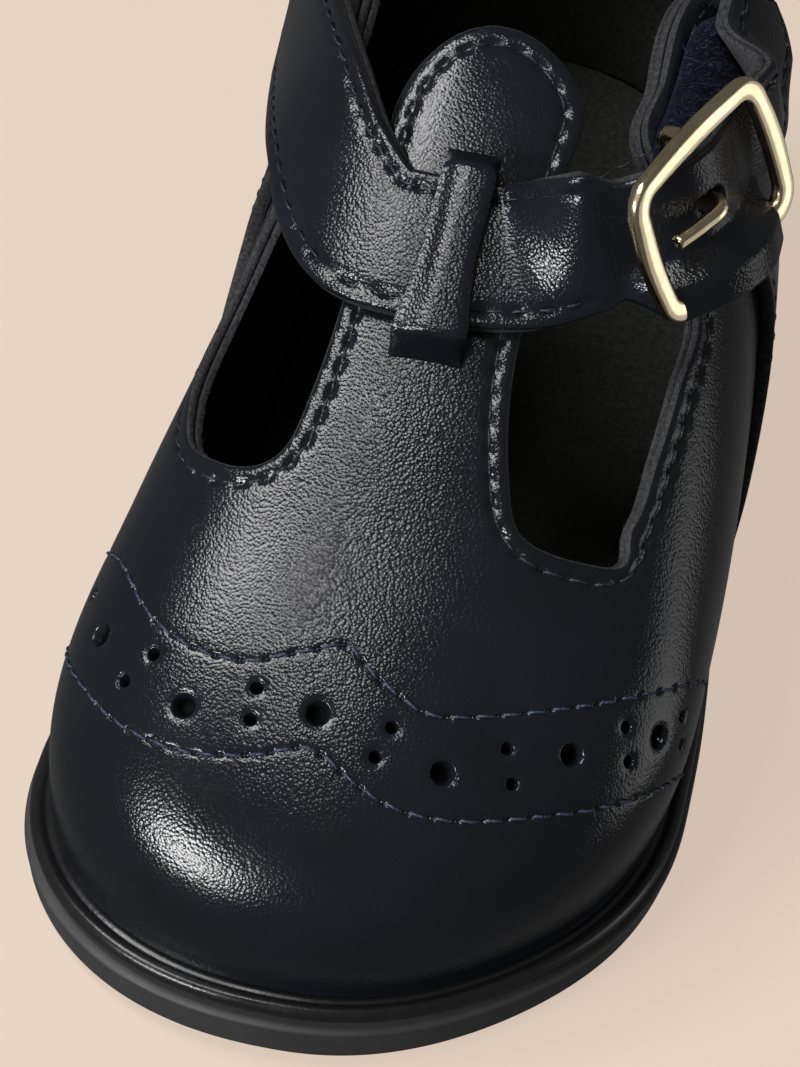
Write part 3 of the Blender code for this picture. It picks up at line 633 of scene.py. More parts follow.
def tube_faces(rings, sides, first=0, capped=False, looped=False):
    """Faces between rings of points, with flat ends if capped and back to the first ring if looped."""
    faces = []
    last = first + (rings - 1) * sides
    for ring in range(rings - 1):
        for m in range(sides):
            a = first + ring * sides + m
            b = first + ring * sides + (m + 1) % sides
            faces.append((a, b, b + sides, a + sides))
    if capped:
        faces.append(tuple(range(first, first + sides))[::-1])
        faces.append(tuple(range(last, last + sides)))
    if looped:
        for m in range(sides):
            n = (m + 1) % sides
            faces.append((last + m, last + n, first + n, first + m))
    return faces


def line_through(places):
    """A smooth line on the vamp through a table of places."""
    degrees = column(places, "degrees")
    ups = column(places, "up")
    at = walked(last_point(np.radians(degrees), ups))
    fine = np.linspace(0, at[-1], 400)
    angle = np.radians(curve_through(fine, at, degrees))
    up = curve_through(fine, at, ups)
    return resampled(last_point(angle, up), last_normal(angle, up))


def line_beside_edge(sheet, loop, chosen, distance, height):
    """Lines at a distance inside the sheet's edge, along the chosen run of a loop."""
    off = outward_along(sheet.points, sheet.normals, loop)
    goal = sheet.points[loop] - off * distance
    angle, up = nearest_on_last(goal, sheet.angle[loop], sheet.up[loop])
    points = last_point(angle, up)
    normals = last_normal(angle, up)
    lines = []
    start = int(np.argmin(chosen)) if not chosen.all() else 0
    order = np.roll(np.arange(len(loop)), -start)
    run = []
    for k in list(order) + [None]:
        if k is not None and chosen[k]:
            run.append(k)
            continue
        if len(run) > 12:
            lines.append(resampled(smoothed(points[run], 8) + normals[run] * height, normals[run]))
        run = []
    return lines


class Thread:
    """Collects stitches into one mesh, and remembers where the needle went in."""

    def __init__(self):
        self.points = []
        self.faces = []
        self.pits = []
        self.lines = []

    def sew(self, line, pitch, radius, proud, share=0.8, slant=0.0):
        """Stitches along a line. proud is the middle's height over the leather, slant its sideways lean."""
        points, normals = line
        self.lines.append(points)
        at = walked(points)
        count = int(round(at[-1] / pitch))
        pitch = at[-1] / max(count, 1)
        rings = 9
        sides = 6
        t = np.linspace(-1, 1, rings)
        height = proud - (STITCH_DIP + proud) * np.abs(t) ** 3
        for k in range(count):
            begin = (k + (1 - share) / 2) * pitch
            goal = begin + np.linspace(0, share * pitch, rings)
            middle = read_along(goal, at, points)
            normal = unit(read_along(goal, at, normals))
            self.pits += [middle[0], middle[-1]]
            side = np.cross(unit(np.gradient(middle, axis=0)), normal)
            middle = middle + normal * height[:, None] + side * (slant * t)[:, None]
            self.faces += tube_faces(rings, sides, len(self.points), capped=True)
            for ring in range(rings):
                thick = radius * (1 - 0.25 * t[ring] ** 2)
                self.points.extend(circle(middle[ring], side[ring], normal[ring], thick, sides, 0.5 * ring))


def tree_of(points):
    tree = KDTree(len(points))
    for k, p in enumerate(points):
        tree.insert(p, k)
    tree.balance()
    return tree


def distances(tree, points):
    return np.array([tree.find(p)[2] for p in points])


def refine(points, faces, wanted, rounds):
    """Divides faces whose middle is wanted, once for each round. Old vertices keep their numbers."""
    mesh = bpy.data.meshes.new("refine")
    mesh.from_pydata(points.tolist(), [], faces)
    bm = bmesh.new()
    bm.from_mesh(mesh)
    bpy.data.meshes.remove(mesh)
    for level in range(rounds):
        middles = np.array([face.calc_center_median() for face in bm.faces])
        chosen = wanted(middles, level)
        edges = {edge for face, take in zip(bm.faces, chosen) if take for edge in face.edges}
        bmesh.ops.subdivide_edges(bm, edges=list(edges), cuts=1, use_grid_fill=True)
        bm.verts.index_update()
        bm.faces.index_update()
    new_points = np.array([v.co for v in bm.verts])
    new_faces = [[v.index for v in face.verts] for face in bm.faces]
    bm.free()
    return new_points, new_faces


# Straps

def resample_route(route, steps):
    across = column(route, "across")
    y = column(route, "from_toe") * LENGTH - LENGTH / 2
    distance = walked(across_point(y, across))
    at = np.linspace(0, distance[-1], steps + 1)
    columns = (across, y, column(route, "on_quarter"), column(route, "on_patch"))
    return at, [curve_through(at, distance, values) for values in columns]


def surface_slopes(y, across):
    step = 0.5 * MM
    turn = 0.004
    along = (across_point(y + step, across) - across_point(y - step, across)) / (2 * step)
    sideways = (across_point(y, across + turn) - across_point(y, across - turn)) / (2 * turn)
    return along, sideways


def no_stance(at, total):
    return 0.0 * at


class Band:
    """A strap that follows the last. Where stance nears 1 it turns upright about its lower edge."""

    def __init__(self, route, steps, half_width=no_stance, stance=no_stance):
        self.at, (self.across, self.y, on_quarter, on_patch) = resample_route(route, steps)
        middle = across_point(self.y, self.across)
        self.tangent = np.gradient(middle, self.at, axis=0)
        self.along, self.sideways = surface_slopes(self.y, self.across)
        normal = unit(np.cross(self.along, self.sideways))
        self.normal = normal * np.where(normal[:, 2:] < 0, -1, 1)
        self.width_way = unit(np.cross(self.normal, self.tangent))
        self.cover = on_quarter * (OVERLAY + GAP) + on_patch * (PATCH_THICKNESS + GAP)
        self.total = self.at[-1]
        self.free = stance(self.at, self.total)[:, None]
        turn = np.radians(STRAP_TWIST) * self.free
        lower_edge = half_width(self.at, self.total)[:, None] * np.sin(turn)
        self.base = middle + self.normal * (GAP + self.cover[:, None] + lower_edge)
        self.out = self.normal * np.cos(turn) - self.width_way * np.sin(turn)
        self.width_out = self.width_way * np.cos(turn) + self.normal * np.sin(turn)

    def place(self, offset, height):
        """Points of the whole band: offset and height are arrays of stations by columns."""
        goal = self.width_way[:, None, :] * offset[..., None]
        dy, da = shares_of(self.along[:, None, :], self.sideways[:, None, :], goal)
        foot = across_point(self.y[:, None] + dy, self.across[:, None] + da)
        foot = foot + self.normal[:, None, :] * (GAP + self.cover[:, None] + height)[..., None]
        flat = self.base[:, None, :] + self.width_out[:, None, :] * offset[..., None]
        flat = flat + self.out[:, None, :] * height[..., None]
        return foot + (flat - foot) * self.free[..., None]


def rounded_end(distance, radius):
    rest = np.clip(1 - distance / radius, 0, 0.985)
    return radius * np.sqrt(1 - rest**2)


def buckle_bump(at, total):
    away = np.clip(np.abs(at - BUCKLE_AT * total) / (BUCKLE_LENGTH * BULGE_SPREAD), 0, 1)
    return (1 + np.cos(np.pi * away)) / 2


def strap_half_width(at, total):
    """Full width, but narrowed to STRAP_NECK between the buckle's end bars."""
    away = np.abs(at - BUCKLE_AT * total) / BUCKLE_LENGTH
    half = (STRAP_WIDTH - (STRAP_WIDTH - STRAP_NECK) * smooth_step(-away, -NECK_ENDS, -NECK_FULL)) / 2
    return np.minimum(half, rounded_end(np.minimum(at, total - at), STRAP_WIDTH / 2))


def strap_stance(at, total):
    """1 where the buckle holds the strap flat, 0 where the strap lies on the quarter."""
    from_buckle = (at - BUCKLE_AT * total) / BUCKLE_LENGTH
    away = np.where(from_buckle > 0, from_buckle * TAIL_STANCE, -from_buckle)
    return smooth_step(-away, -STANCE_ENDS, -STANCE_FULL)


# Materials

def give(node, **values):
    """Sets sockets by name, with _ for each space."""
    for name, value in values.items():
        node.inputs[name.replace("_", " ")].default_value = value


class Nodes:
    """Short ways to add and join shader nodes."""

    def __init__(self, name):
        self.material = bpy.data.materials.new(name)
        self.material.use_nodes = True
        self.tree = self.material.node_tree
        self.shader = self.tree.nodes["Principled BSDF"]
        self.coordinates = self.tree.nodes.new("ShaderNodeTexCoord").outputs["Object"]

    def add(self, kind, **values):
        node = self.tree.nodes.new(kind)
        for name, value in values.items():
            setattr(node, name, value)
        return node

    def join(self, output, target):
        self.tree.links.new(output, target)

    def set(self, **values):
        give(self.shader, **values)

    def noise(self, scale, detail=3.0, fineness=0.5, stretch=None):
        node = self.add("ShaderNodeTexNoise")
        give(node, Scale=scale, Detail=detail, Roughness=fineness)
        self.join(self.stretched(stretch), node.inputs["Vector"])
        return node.outputs["Fac"]

    def cells(self, scale):
        node = self.add("ShaderNodeTexVoronoi")
        give(node, Scale=scale)
        self.join(self.coordinates, node.inputs["Vector"])
        return node.outputs["Distance"]

    def stretched(self, stretch):
        if stretch is None:
            return self.coordinates
        node = self.add("ShaderNodeMapping")
        give(node, Scale=stretch)
        self.join(self.coordinates, node.inputs["Vector"])
        return node.outputs["Vector"]

    def range(self, value, low, high, to_low=0.0, to_high=1.0):
        node = self.add("ShaderNodeMapRange")
        give(node, From_Min=low, From_Max=high, To_Min=to_low, To_Max=to_high)
        self.join(value, node.inputs["Value"])
        return node.outputs["Result"]

    def math(self, operation, a, b):
        node = self.add("ShaderNodeMath", operation=operation)
        self.join(a, node.inputs[0])
        if isinstance(b, float):
            node.inputs[1].default_value = b
        else:
            self.join(b, node.inputs[1])
        return node.outputs["Value"]

    def mix(self, factor, dark, light):
        node = self.add("ShaderNodeMix", data_type="RGBA")
        node.inputs["A"].default_value = (*dark, 1.0)
        node.inputs["B"].default_value = (*light, 1.0)
        self.join(factor, node.inputs["Factor"])
        return node.outputs["Result"]

    def colour(self, factor, dark, light):
        self.join(self.mix(factor, dark, light), self.shader.inputs["Base Color"])

    def roughness(self, scale, low, high):
        self.join(self.range(self.noise(scale), 0.3, 0.7, low, high), self.shader.inputs["Roughness"])

    def bump(self, height, distance):
        node = self.add("ShaderNodeBump")
        give(node, Distance=distance, Strength=1.0)
        self.join(height, node.inputs["Height"])
        self.join(node.outputs["Normal"], self.shader.inputs["Normal"])


def leather_material(name, dark, light, grain, wrinkle):
    """Smooth dyed leather: pebbled cells, finer pores, a soft mottle and a thin gloss."""
    n = Nodes(name)
    cells = n.cells(3000.0)
    fine = n.noise(7000.0, 2.0, 0.6)
    folds = n.noise(700.0, 3.0, 0.55, (1.0, 0.55, 1.0))
    height = n.math("ADD", n.math("MULTIPLY", cells, -1.0), n.math("MULTIPLY", fine, 0.35))
    height = n.math("ADD", height, n.math("MULTIPLY", folds, wrinkle))
    n.bump(height, grain)
    n.colour(n.range(n.noise(55.0, 4.0, 0.6), 0.35, 0.65), dark, light)
    n.roughness(160.0, 0.13, 0.19)
    n.set(Specular_IOR_Level=0.5)
    return n.material


def fibrous_material(name, scale, detail, fineness, dark, light, relief, high=0.65, **values):
    """Thread, pile, lining or a raw edge: one fine noise gives both the colour and the relief."""
    n = Nodes(name)
    fibres = n.noise(scale, detail, fineness)
    n.colour(n.range(fibres, 0.35, high), dark, light)
    n.bump(fibres, relief)
    n.set(**values)
    return n.material


def rubber_material(name, dark, light, low, high, relief):
    n = Nodes(name)
    speck = n.noise(1500.0, 3.0, 0.6)
    n.colour(n.range(n.noise(90.0), 0.35, 0.65), dark, light)
    n.bump(speck, relief)
    n.roughness(300.0, low, high)
    return n.material


def gold_material():
    n = Nodes("gold")
    smear = n.noise(260.0, 4.0, 0.65)
    n.colour(n.range(smear, 0.3, 0.7), (0.76, 0.63, 0.39), (0.9, 0.78, 0.53))
    n.roughness(700.0, 0.12, 0.24)
    n.bump(n.noise(420.0), 0.03 * MM)
    n.set(Metallic=1.0)
    return n.material


def plain_material(name, dark, rough, **values):
    n = Nodes(name)
    light = tuple(1.35 * c for c in dark)
    n.colour(n.range(n.noise(800.0), 0.3, 0.7), dark, light)
    n.set(Roughness=rough, **values)
    return n.material


NAVY = (0.0065, 0.0078, 0.0105)
leather = leather_material("leather", NAVY, (0.009, 0.011, 0.016), 0.031 * MM, 0.10)
soft_leather = leather_material("soft_leather", NAVY, (0.009, 0.011, 0.017), 0.046 * MM, 0.2)
cut_edge = fibrous_material("cut_edge", 2600.0, 4.0, 0.75, (0.012, 0.012, 0.013), (0.07, 0.07, 0.075),
                            0.15 * MM, Roughness=0.9, Specular_IOR_Level=0.25)
lining = fibrous_material("lining", 1800.0, 4.0, 0.7, (0.010, 0.010, 0.009), (0.028, 0.028, 0.025),
                          0.08 * MM, Roughness=0.85, Specular_IOR_Level=0.2)
thread = fibrous_material("thread", 3500.0, 2.0, 0.5, (0.010, 0.014, 0.035), (0.06, 0.07, 0.12),
                          0.1 * MM, Roughness=0.45, Specular_IOR_Level=0.5)
dark_thread = fibrous_material("dark_thread", 3500.0, 2.0, 0.5, (0.006, 0.008, 0.014), (0.03, 0.034, 0.05),
                               0.1 * MM, Roughness=0.45, Specular_IOR_Level=0.5)
sole_rubber = rubber_material("sole_rubber", (0.042, 0.042, 0.042), (0.055, 0.055, 0.055),
                              0.5, 0.62, 0.02 * MM)
welt_rubber = rubber_material("welt_rubber", (0.009, 0.009, 0.010), (0.014, 0.014, 0.015),
                              0.2, 0.34, 0.03 * MM)
gold = gold_material()
pile = fibrous_material("pile", 1900.0, 4.0, 0.75, (0.0015, 0.002, 0.007), (0.006, 0.008, 0.03), 0.4 * MM,
                        0.68, Roughness=0.9, Sheen_Weight=0.08, Sheen_Roughness=0.4, Specular_IOR_Level=0.2)
fibre = plain_material("fibre", (0.008, 0.011, 0.04), 0.6, Specular_IOR_Level=0.5)
hair = plain_material("hair", (0.03, 0.03, 0.033), 0.8)
# Painted shade: the floor of each punched hole is coloured near black, darker than the leather and the
# lining, to stand in for the shade inside the hole.
hole_painted_shade = plain_material("hole_painted_shade", (0.0015, 0.0015, 0.0018), 0.8, Specular_IOR_Level=0.1)


# The upper: a leather sheet with punched holes and stitch lines, over a suede-edged lining

band_thread = Thread()
edge_thread = Thread()
leather_sheet = cut_sheet(upper_keep, 560, 104)
for band_table in (BAND_TOP, BAND_LOW):
    band_thread.sew(line_through(band_table), STITCH_PITCH, 0.16 * MM, 0.07 * MM, 0.86, 0.1 * MM)
edge_points = []
for loop in leather_sheet.loops:
    on_edge = leather_sheet.up[loop] > 0.03
    if on_edge.any():
        edge_points.append(leather_sheet.points[loop][on_edge])
        for line in line_beside_edge(leather_sheet, loop, on_edge, SEAM_INSET, 0.0):
            edge_thread.sew(line, 2.7 * MM, 0.13 * MM, -0.04 * MM)
edge_tree = tree_of(np.concatenate(edge_points))

hole_list = [(place, LARGE_HOLE) for place in LARGE_HOLES] + [(place, SMALL_HOLE) for place in SMALL_HOLES]
hole_centres = np.array([last_point(np.radians(place.degrees), place.up) for place, _ in hole_list])
hole_radii = np.array([radius for _, radius in hole_list])
band_tree = tree_of(np.concatenate(band_thread.lines))
band_pits = tree_of(band_thread.pits)
seam_tree = tree_of(np.concatenate(edge_thread.lines))
seam_pits = tree_of(edge_thread.pits)


def from_holes(points):
    """Distance from the nearest hole's rim, less than zero inside, and that hole's radius."""
    away = np.linalg.norm(points[:, None, :] - hole_centres[None], axis=2) - hole_radii
    nearest = away.argmin(axis=1)
    return away[np.arange(len(points)), nearest], hole_radii[nearest]


def wanted_on_upper(middles, level):
    near_hole = from_holes(middles)[0] < 0.5 * MM
    if level == 0:
        near_band = distances(band_tree, middles) < 0.7 * MM
        return near_hole | near_band | (distances(seam_tree, middles) < 0.8 * MM)
    if level == 1:
        return near_hole | (distances(band_pits, middles) < 0.35 * MM)
    return near_hole


def seam_hollow(points, lines, pits, trough, pit, pit_width):
    """How deep a seam draws the leather in, all along and at each needle hole."""
    hollow = trough * np.exp(-(distances(lines, points) / SEAM_SPREAD) ** 2)
    return hollow + pit * np.exp(-(distances(pits, points) / pit_width) ** 2)


points, faces = refine(leather_sheet.points, leather_sheet.faces, wanted_on_upper, 3)
normals = sheet_normals(points, faces)
from_rim, radii = from_holes(points)
middles = np.array([points[face].mean(axis=0) for face in faces])
middle_rim, middle_radii = from_holes(middles)
# Faces deep inside each punched hole take the painted shade material.
painted_shade_faces = middle_rim < -0.3 * middle_radii
punched = 1.5 * MM * (1 - smooth_step(from_rim / radii, -0.62, 0.06))
sagged = 0.12 * MM * np.exp(-(np.maximum(from_rim, 0) / (0.35 * MM)) ** 2)
hollow = seam_hollow(points, band_tree, band_pits, 0.05 * MM, 0.30 * MM, 0.2 * MM)
hollow = hollow + seam_hollow(points, seam_tree, seam_pits, 0.09 * MM, 0.34 * MM, 0.4 * MM)
from_edge = np.clip(distances(edge_tree, points) / SEAM_INSET, 0, 1)
puffed = 0.07 * MM * np.sin(np.pi * from_edge)
points = points + normals * (puffed - sagged - punched - hollow)[:, None]
LEATHER_RIM = ((0.14, 0.12), (0.22, 0.40), (0.16, 0.78), (-0.1, 1.0), (-1.0, 1.05))
upper_leather = rimmed_object("upper_leather", leather_sheet, points, normals, faces, LEATHER_RIM,
                              (leather, hole_painted_shade, cut_edge), np.where(painted_shade_faces, 1, 0).tolist())
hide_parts("upper")

lining_sheet = cut_sheet(upper_keep, 300, 60)
inner_points = lining_sheet.points - lining_sheet.normals * WALL
reversed_faces = [face[::-1] for face in lining_sheet.faces]
LINING_RIM = ((0.20, -0.05), (0.30, -0.3), (0.26, -0.62), (0.0, -0.78))
rimmed_object("upper_lining", lining_sheet, inner_points, lining_sheet.normals, reversed_faces, LINING_RIM,
              (lining, cut_edge), [0] * len(reversed_faces), inner=True)

# The back quarter

quarter_sheet = cut_sheet(quarter_keep, 400, 72)
QUARTER_TOP = GAP + OVERLAY
QUARTER_RIM = ((0.12, 0.12), (0.18, 0.45), (0.12, 1.0), (-0.2, 1.4))
quarter_thread = Thread()
for loop in quarter_sheet.loops:
    on_edge = quarter_sheet.up[loop] > 0.02
    for line in line_beside_edge(quarter_sheet, loop, on_edge, SEAM_INSET, QUARTER_TOP):
        quarter_thread.sew(line, 2.4 * MM, 0.14 * MM, 0.02 * MM)
quarter_points = quarter_sheet.points + quarter_sheet.normals * QUARTER_TOP
line_tree = tree_of(np.concatenate(quarter_thread.lines))
pit_tree = tree_of(quarter_thread.pits)
hollow = seam_hollow(quarter_points, line_tree, pit_tree, 0.12 * MM, 0.3 * MM, 0.35 * MM)
quarter_points = quarter_points - quarter_sheet.normals * hollow[:, None]
lifted = quarter_sheet._replace(points=quarter_points)
quarter = rimmed_object("back_quarter_leather", lifted, quarter_points, lifted.normals, lifted.faces,
                        QUARTER_RIM, (leather, cut_edge), [0] * len(lifted.faces))
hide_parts("back_quarter")

# The strap: outer leather over a lining, drawn in along both seams, humped over the buckle's bar

STRAP_EDGE = (
    (0.45, 0.00), (0.22, 0.07), (0.07, 0.24), (0.0, 0.55), (0.03, 0.95), (0.2, 1.12),
    (0.05, 1.28), (0.0, 1.6), (0.06, 1.95), (0.3, 2.2),
)
TAIL_STARTS = 0.3
TAIL_ROOM = 0.3 * MM
OVERHANG = 4.0 * MM
OVERHANG_RISE = 3.3 * MM
OVERHANG_FROM = 3.2 * MM
OVERHANG_TO = 6.2 * MM
OVERHANG_FULL = 0.25
OVERHANG_ENDS = 0.38
EDGE_WIDTH = 0.45 * MM
TOP_COLUMNS = 37
strap = Band(STRAP_ROUTE, 330, strap_half_width, strap_stance)
half = strap_half_width(strap.at, strap.total)
from_buckle = (strap.at - BUCKLE_AT * strap.total) / BUCKLE_LENGTH
half = np.where(from_buckle > TAIL_STARTS, np.minimum(half, STRAP_NECK / 2 + TAIL_ROOM), half)
overhang = smooth_step(-np.abs(from_buckle), -OVERHANG_ENDS, -OVERHANG_FULL)
low_half = half + OVERHANG * overhang
bump = BULGE_HEIGHT * buckle_bump(strap.at, strap.total)
across_share = np.linspace(-1, 1, TOP_COLUMNS)
side_half = np.where(across_share[None, :] < 0, low_half[:, None], half[:, None])
top_offset = across_share[None, :] * (side_half - EDGE_WIDTH)
from_seam = np.abs(np.abs(top_offset) - (half - SEAM_INSET)[:, None])
seam_phase = (strap.at[:, None] / STITCH_PITCH) % 1
from_needle = STITCH_PITCH * np.minimum(np.abs(seam_phase - 0.1), np.abs(seam_phase - 0.9))
from_pit = np.hypot(from_seam, from_needle)
from_prong = np.hypot(top_offset, (strap.at - BUCKLE_AT * strap.total)[:, None])
drawn_in = 0.14 * MM * np.exp(-(from_seam / SEAM_SPREAD) ** 2)
drawn_in = drawn_in + 0.34 * MM * np.exp(-(from_pit / (0.4 * MM)) ** 2)
drawn_in = drawn_in * smooth_step(np.abs(from_buckle), 0.4, 0.52)[:, None]
prong_hole = 1.5 * MM * (1 - smooth_step(from_prong, 1.0 * MM, 1.5 * MM))
crown = 0.12 * MM * (1 - across_share[None, :] ** 2)
top_height = STRAP_THICKNESS + bump[:, None] - drawn_in - prong_hole + crown
edge = np.array(STRAP_EDGE) * MM
right_offset = half[:, None] - edge[None, :, 0]
side_height = STRAP_THICKNESS + bump[:, None] - edge[None, :, 1]
left_offset = edge[None, ::-1, 0] - low_half[:, None]
offset = np.concatenate([top_offset, right_offset, left_offset], axis=1)
height = np.concatenate([top_height, side_height, side_height[:, ::-1]], axis=1)
height = height + OVERHANG_RISE * overhang[:, None] * smooth_step(-offset, OVERHANG_FROM, OVERHANG_TO)
strap_points = strap.place(offset, height)
stations, columns = offset.shape
strap_faces = tube_faces(stations, columns, capped=True)
across_material = [1] * columns
across_material[:TOP_COLUMNS + 3] = [0] * (TOP_COLUMNS + 3)
across_material[-4:] = [0] * 4
strap_object = make_object("strap_leather", strap_points.reshape(-1, 3), strap_faces,
                           (soft_leather, cut_edge), across_material * (stations - 1) + [1, 1])
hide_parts("strap")
for side in (-1, 1):
    seam_offset = side * (half - SEAM_INSET)[:, None]
    seam = strap.place(seam_offset, (STRAP_THICKNESS + bump)[:, None])[:, 0]
    keep = (np.abs(half - half.max()) < 3.3 * MM) & (np.abs(from_buckle) > 0.5)
    edge_thread.sew(resampled(seam[keep], strap.out[keep]), STITCH_PITCH, 0.13 * MM, -0.02 * MM)

# The keeper: a strip of the T-bar lifted over the strap

KEEPER_FOOT = 1.6 * MM
KEEPER_HEAD = 2.0 * MM
KEEPER_SHIFT = 0.024
KEEPER_SLANT = 0.01
KEEPER_HALF = 0.44
KEEPER_TAPER = 0.03
over_strap = STRAP_WIDTH / 2 + GAP
from_middle = np.linspace(-over_strap - KEEPER_FOOT, over_strap + KEEPER_HEAD, 90)
keeper_y = (KEEPER_MIDDLE - 0.5) * LENGTH + from_middle
away = np.maximum((-from_middle - over_strap) / KEEPER_FOOT, (from_middle - over_strap) / KEEPER_HEAD)
away = np.clip(away, 0, 1)
keeper_across = KEEPER_ACROSS + KEEPER_SHIFT + KEEPER_SLANT * np.clip(from_middle / over_strap, -1, 1)
along, sideways = surface_slopes(keeper_y, keeper_across)
normal = unit(np.cross(sideways, along))
normal = normal * np.sign(normal[:, 2:])
reach = KEEPER_WIDTH * (KEEPER_HALF - KEEPER_TAPER * from_middle / over_strap)
reach = reach / np.linalg.norm(sideways, axis=1)
side_share = np.linspace(-1, 1, 25)
under_keeper = GAP + STRAP_THICKNESS + 2 * GAP
skin = 0.3 * MM + 0.9 * MM * smooth_step(side_share, -1, 0.2) - 0.35 * MM * np.clip(side_share, 0, 1) ** 6
fall = (1 - away[:, None]) ** 1.1
mound = (under_keeper + skin)[None, :] * fall * (1 - np.abs(side_share[None, :]) ** (12 - 8 * away[:, None]))
keeper_lift = np.where(away[:, None] > 0, mound, under_keeper + skin[None, :])
keeper_lift = smoothed(keeper_lift, 4)
base_lift = np.where(away > 0, -0.12 * MM, under_keeper)
keeper_lift = np.maximum(keeper_lift, base_lift[:, None] + 0.1 * MM)
keeper_foot = across_point(keeper_y[:, None], keeper_across[:, None] + reach[:, None] * side_share[None, :])
keeper_top = keeper_foot + normal[:, None, :] * keeper_lift[..., None]
keeper_under = keeper_foot[:, ::-1] + normal[:, None, :] * base_lift[:, None, None]
keeper_points = np.concatenate([keeper_top, keeper_under], axis=1)
keeper_faces = tube_faces(*keeper_points.shape[:2], capped=True)
keeper = make_object("keeper_leather", keeper_points.reshape(-1, 3), keeper_faces, (soft_leather,))
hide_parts("keeper")

# The loop patch and its pile

random = np.random.default_rng(7)
patch = Band(PATCH_ROUTE, 60)
from_end = np.minimum(patch.at, patch.total - patch.at) + PATCH_END_CUT
patch_half = np.minimum(PATCH_WIDTH / 2, rounded_end(from_end, PATCH_WIDTH / 2))
patch_share = np.linspace(-1, 1, 40)
patch_offset = patch_half[:, None] * patch_share[None, :]
patch_height = PATCH_THICKNESS * (0.75 - 0.6 * np.abs(patch_share[None, :]) ** 8) + 0 * patch_offset
patch_height = patch_height + random.normal(0, 0.06 * MM, patch_offset.shape)
patch_top = patch.place(patch_offset, patch_height)
patch_under = patch.place(patch_offset[:, ::-1], 0 * patch_offset)
patch_points = np.concatenate([patch_top, patch_under], axis=1)
patch_faces = tube_faces(*patch_points.shape[:2], capped=True)
patch_object = make_object("loop_patch_pile", patch_points.reshape(-1, 3), patch_faces, (pile,))
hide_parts("loop_patch")


def hairs(name, roots, ways, length, radius, curl, material):
    """Short bent fibres, as thin three-sided tubes that end in a point."""
    hair_points = []
    hair_faces = []
    for root, way in zip(roots, ways):
        side = random.normal(0, 1, 3)
        side = unit(side - way * side.dot(way))
        other = np.cross(way, side)
        size = length * random.uniform(0.5, 1.2)
        bend = curl * random.uniform(0.3, 1.2)
        first = len(hair_points)
        for t in (0.0, 0.35, 0.7):
            centre = root + way * size * np.sin(t * 1.3) + side * size * bend * t * t
            hair_points.extend(circle(centre, side, other, radius * (1 - 0.5 * t), 3))
        hair_points.append(root + way * size * np.sin(1.3) + side * size * bend)
        hair_faces += tube_faces(3, 3, first)
        for m in range(3):
            hair_faces.append((first + 6 + m, first + 6 + (m + 1) % 3, first + 9))
    return make_object(name, hair_points, hair_faces, (material,))


picks = 2600
station = random.integers(0, len(patch.at), picks)
place = random.integers(0, len(patch_share), picks)
roots = patch_top[station, place]
ways = unit(patch.normal[station] + random.normal(0, 0.45, (picks, 3)))
hairs("loop_patch_fibres", roots, ways, 0.7 * MM, 0.035 * MM, 1.2, fibre)

# Fuzz on the raw edges of the tab and the lining
edge_roots = []
edge_ways = []
for loop in lining_sheet.loops:
    off = outward_along(lining_sheet.points, lining_sheet.normals, loop)
    for k, vertex in enumerate(loop):
        if lining_sheet.up[vertex] > 0.03:
            for _ in range(3):
                edge_roots.append(lining_sheet.points[vertex] + off[k] * 0.2 * MM
                                  - lining_sheet.normals[vertex] * random.uniform(1.0, 1.8) * MM)
                edge_ways.append(unit(off[k] + random.normal(0, 0.5, 3)))
hairs("edge_fuzz", edge_roots, edge_ways, 0.45 * MM, 0.022 * MM, 0.9, hair)

# The buckle

buckle_station = int(round(BUCKLE_AT * (len(strap.at) - 1)))
buckle_along = Vector(strap.tangent[buckle_station]).normalized()
buckle_out = Vector(strap.out[buckle_station]).normalized()
buckle_out = (buckle_out - buckle_along * buckle_out.dot(buckle_along)).normalized()
buckle_across = buckle_out.cross(buckle_along)
buckle_origin = Vector(strap.base[buckle_station])


def at_buckle(along_by, across_by, out_by):
    return buckle_origin + buckle_along * along_by + buckle_across * across_by + buckle_out * out_by


def direction(degrees):
    return np.array([np.cos(np.radians(degrees)), np.sin(np.radians(degrees))])


def bowed_ring(length, width, bow, corner, steps):
    """Rounded rectangle whose sides bow outwards a little, as pairs of along and across."""
    ring = []
    for start in (0, 90, 180, 270):
        here, following = [np.sign(direction(start + diagonal)) * (length / 2 - corner, width / 2 - corner)
                           for diagonal in (45, 135)]
        for k in range(steps + 1):
            ring.append(here + corner * direction(start + 90 * k / steps))
        outward = direction(start + 90)
        for t in np.linspace(0, 1, 9)[1:-1]:
            ring.append(here + (following - here) * t + outward * (corner + bow * np.sin(np.pi * t)))
    return np.array(ring)


inner_width = STRAP_NECK + 2 * BUCKLE_SIDE_ROOM
outer_ring = bowed_ring(BUCKLE_LENGTH, inner_width + 2 * BAR_WIDTH, BAR_WIDTH * 0.2, BAR_WIDTH * 1.6, 8)
inner_ring = bowed_ring(BUCKLE_LENGTH - 2 * BAR_WIDTH, inner_width, BAR_WIDTH * 0.1, BAR_WIDTH * 0.7, 8)
frame_level = STRAP_THICKNESS + BUCKLE_LIFT + BAR_THICKNESS / 2
frame_points = []
bar_sides = 20
for inner_pair, outer_pair in zip(inner_ring, outer_ring):
    middle_pair = (inner_pair + outer_pair) / 2
    half_pair = (outer_pair - inner_pair) / 2
    for m in range(bar_sides):
        turn = 2 * np.pi * m / bar_sides
        c = np.sign(np.cos(turn)) * np.abs(np.cos(turn)) ** 0.6
        s = np.sign(np.sin(turn)) * np.abs(np.sin(turn)) ** 0.75
        pair = middle_pair + half_pair * c
        frame_points.append(at_buckle(pair[0], pair[1], frame_level + s * BAR_THICKNESS / 2))
frame_faces = tube_faces(len(outer_ring), bar_sides, looped=True)


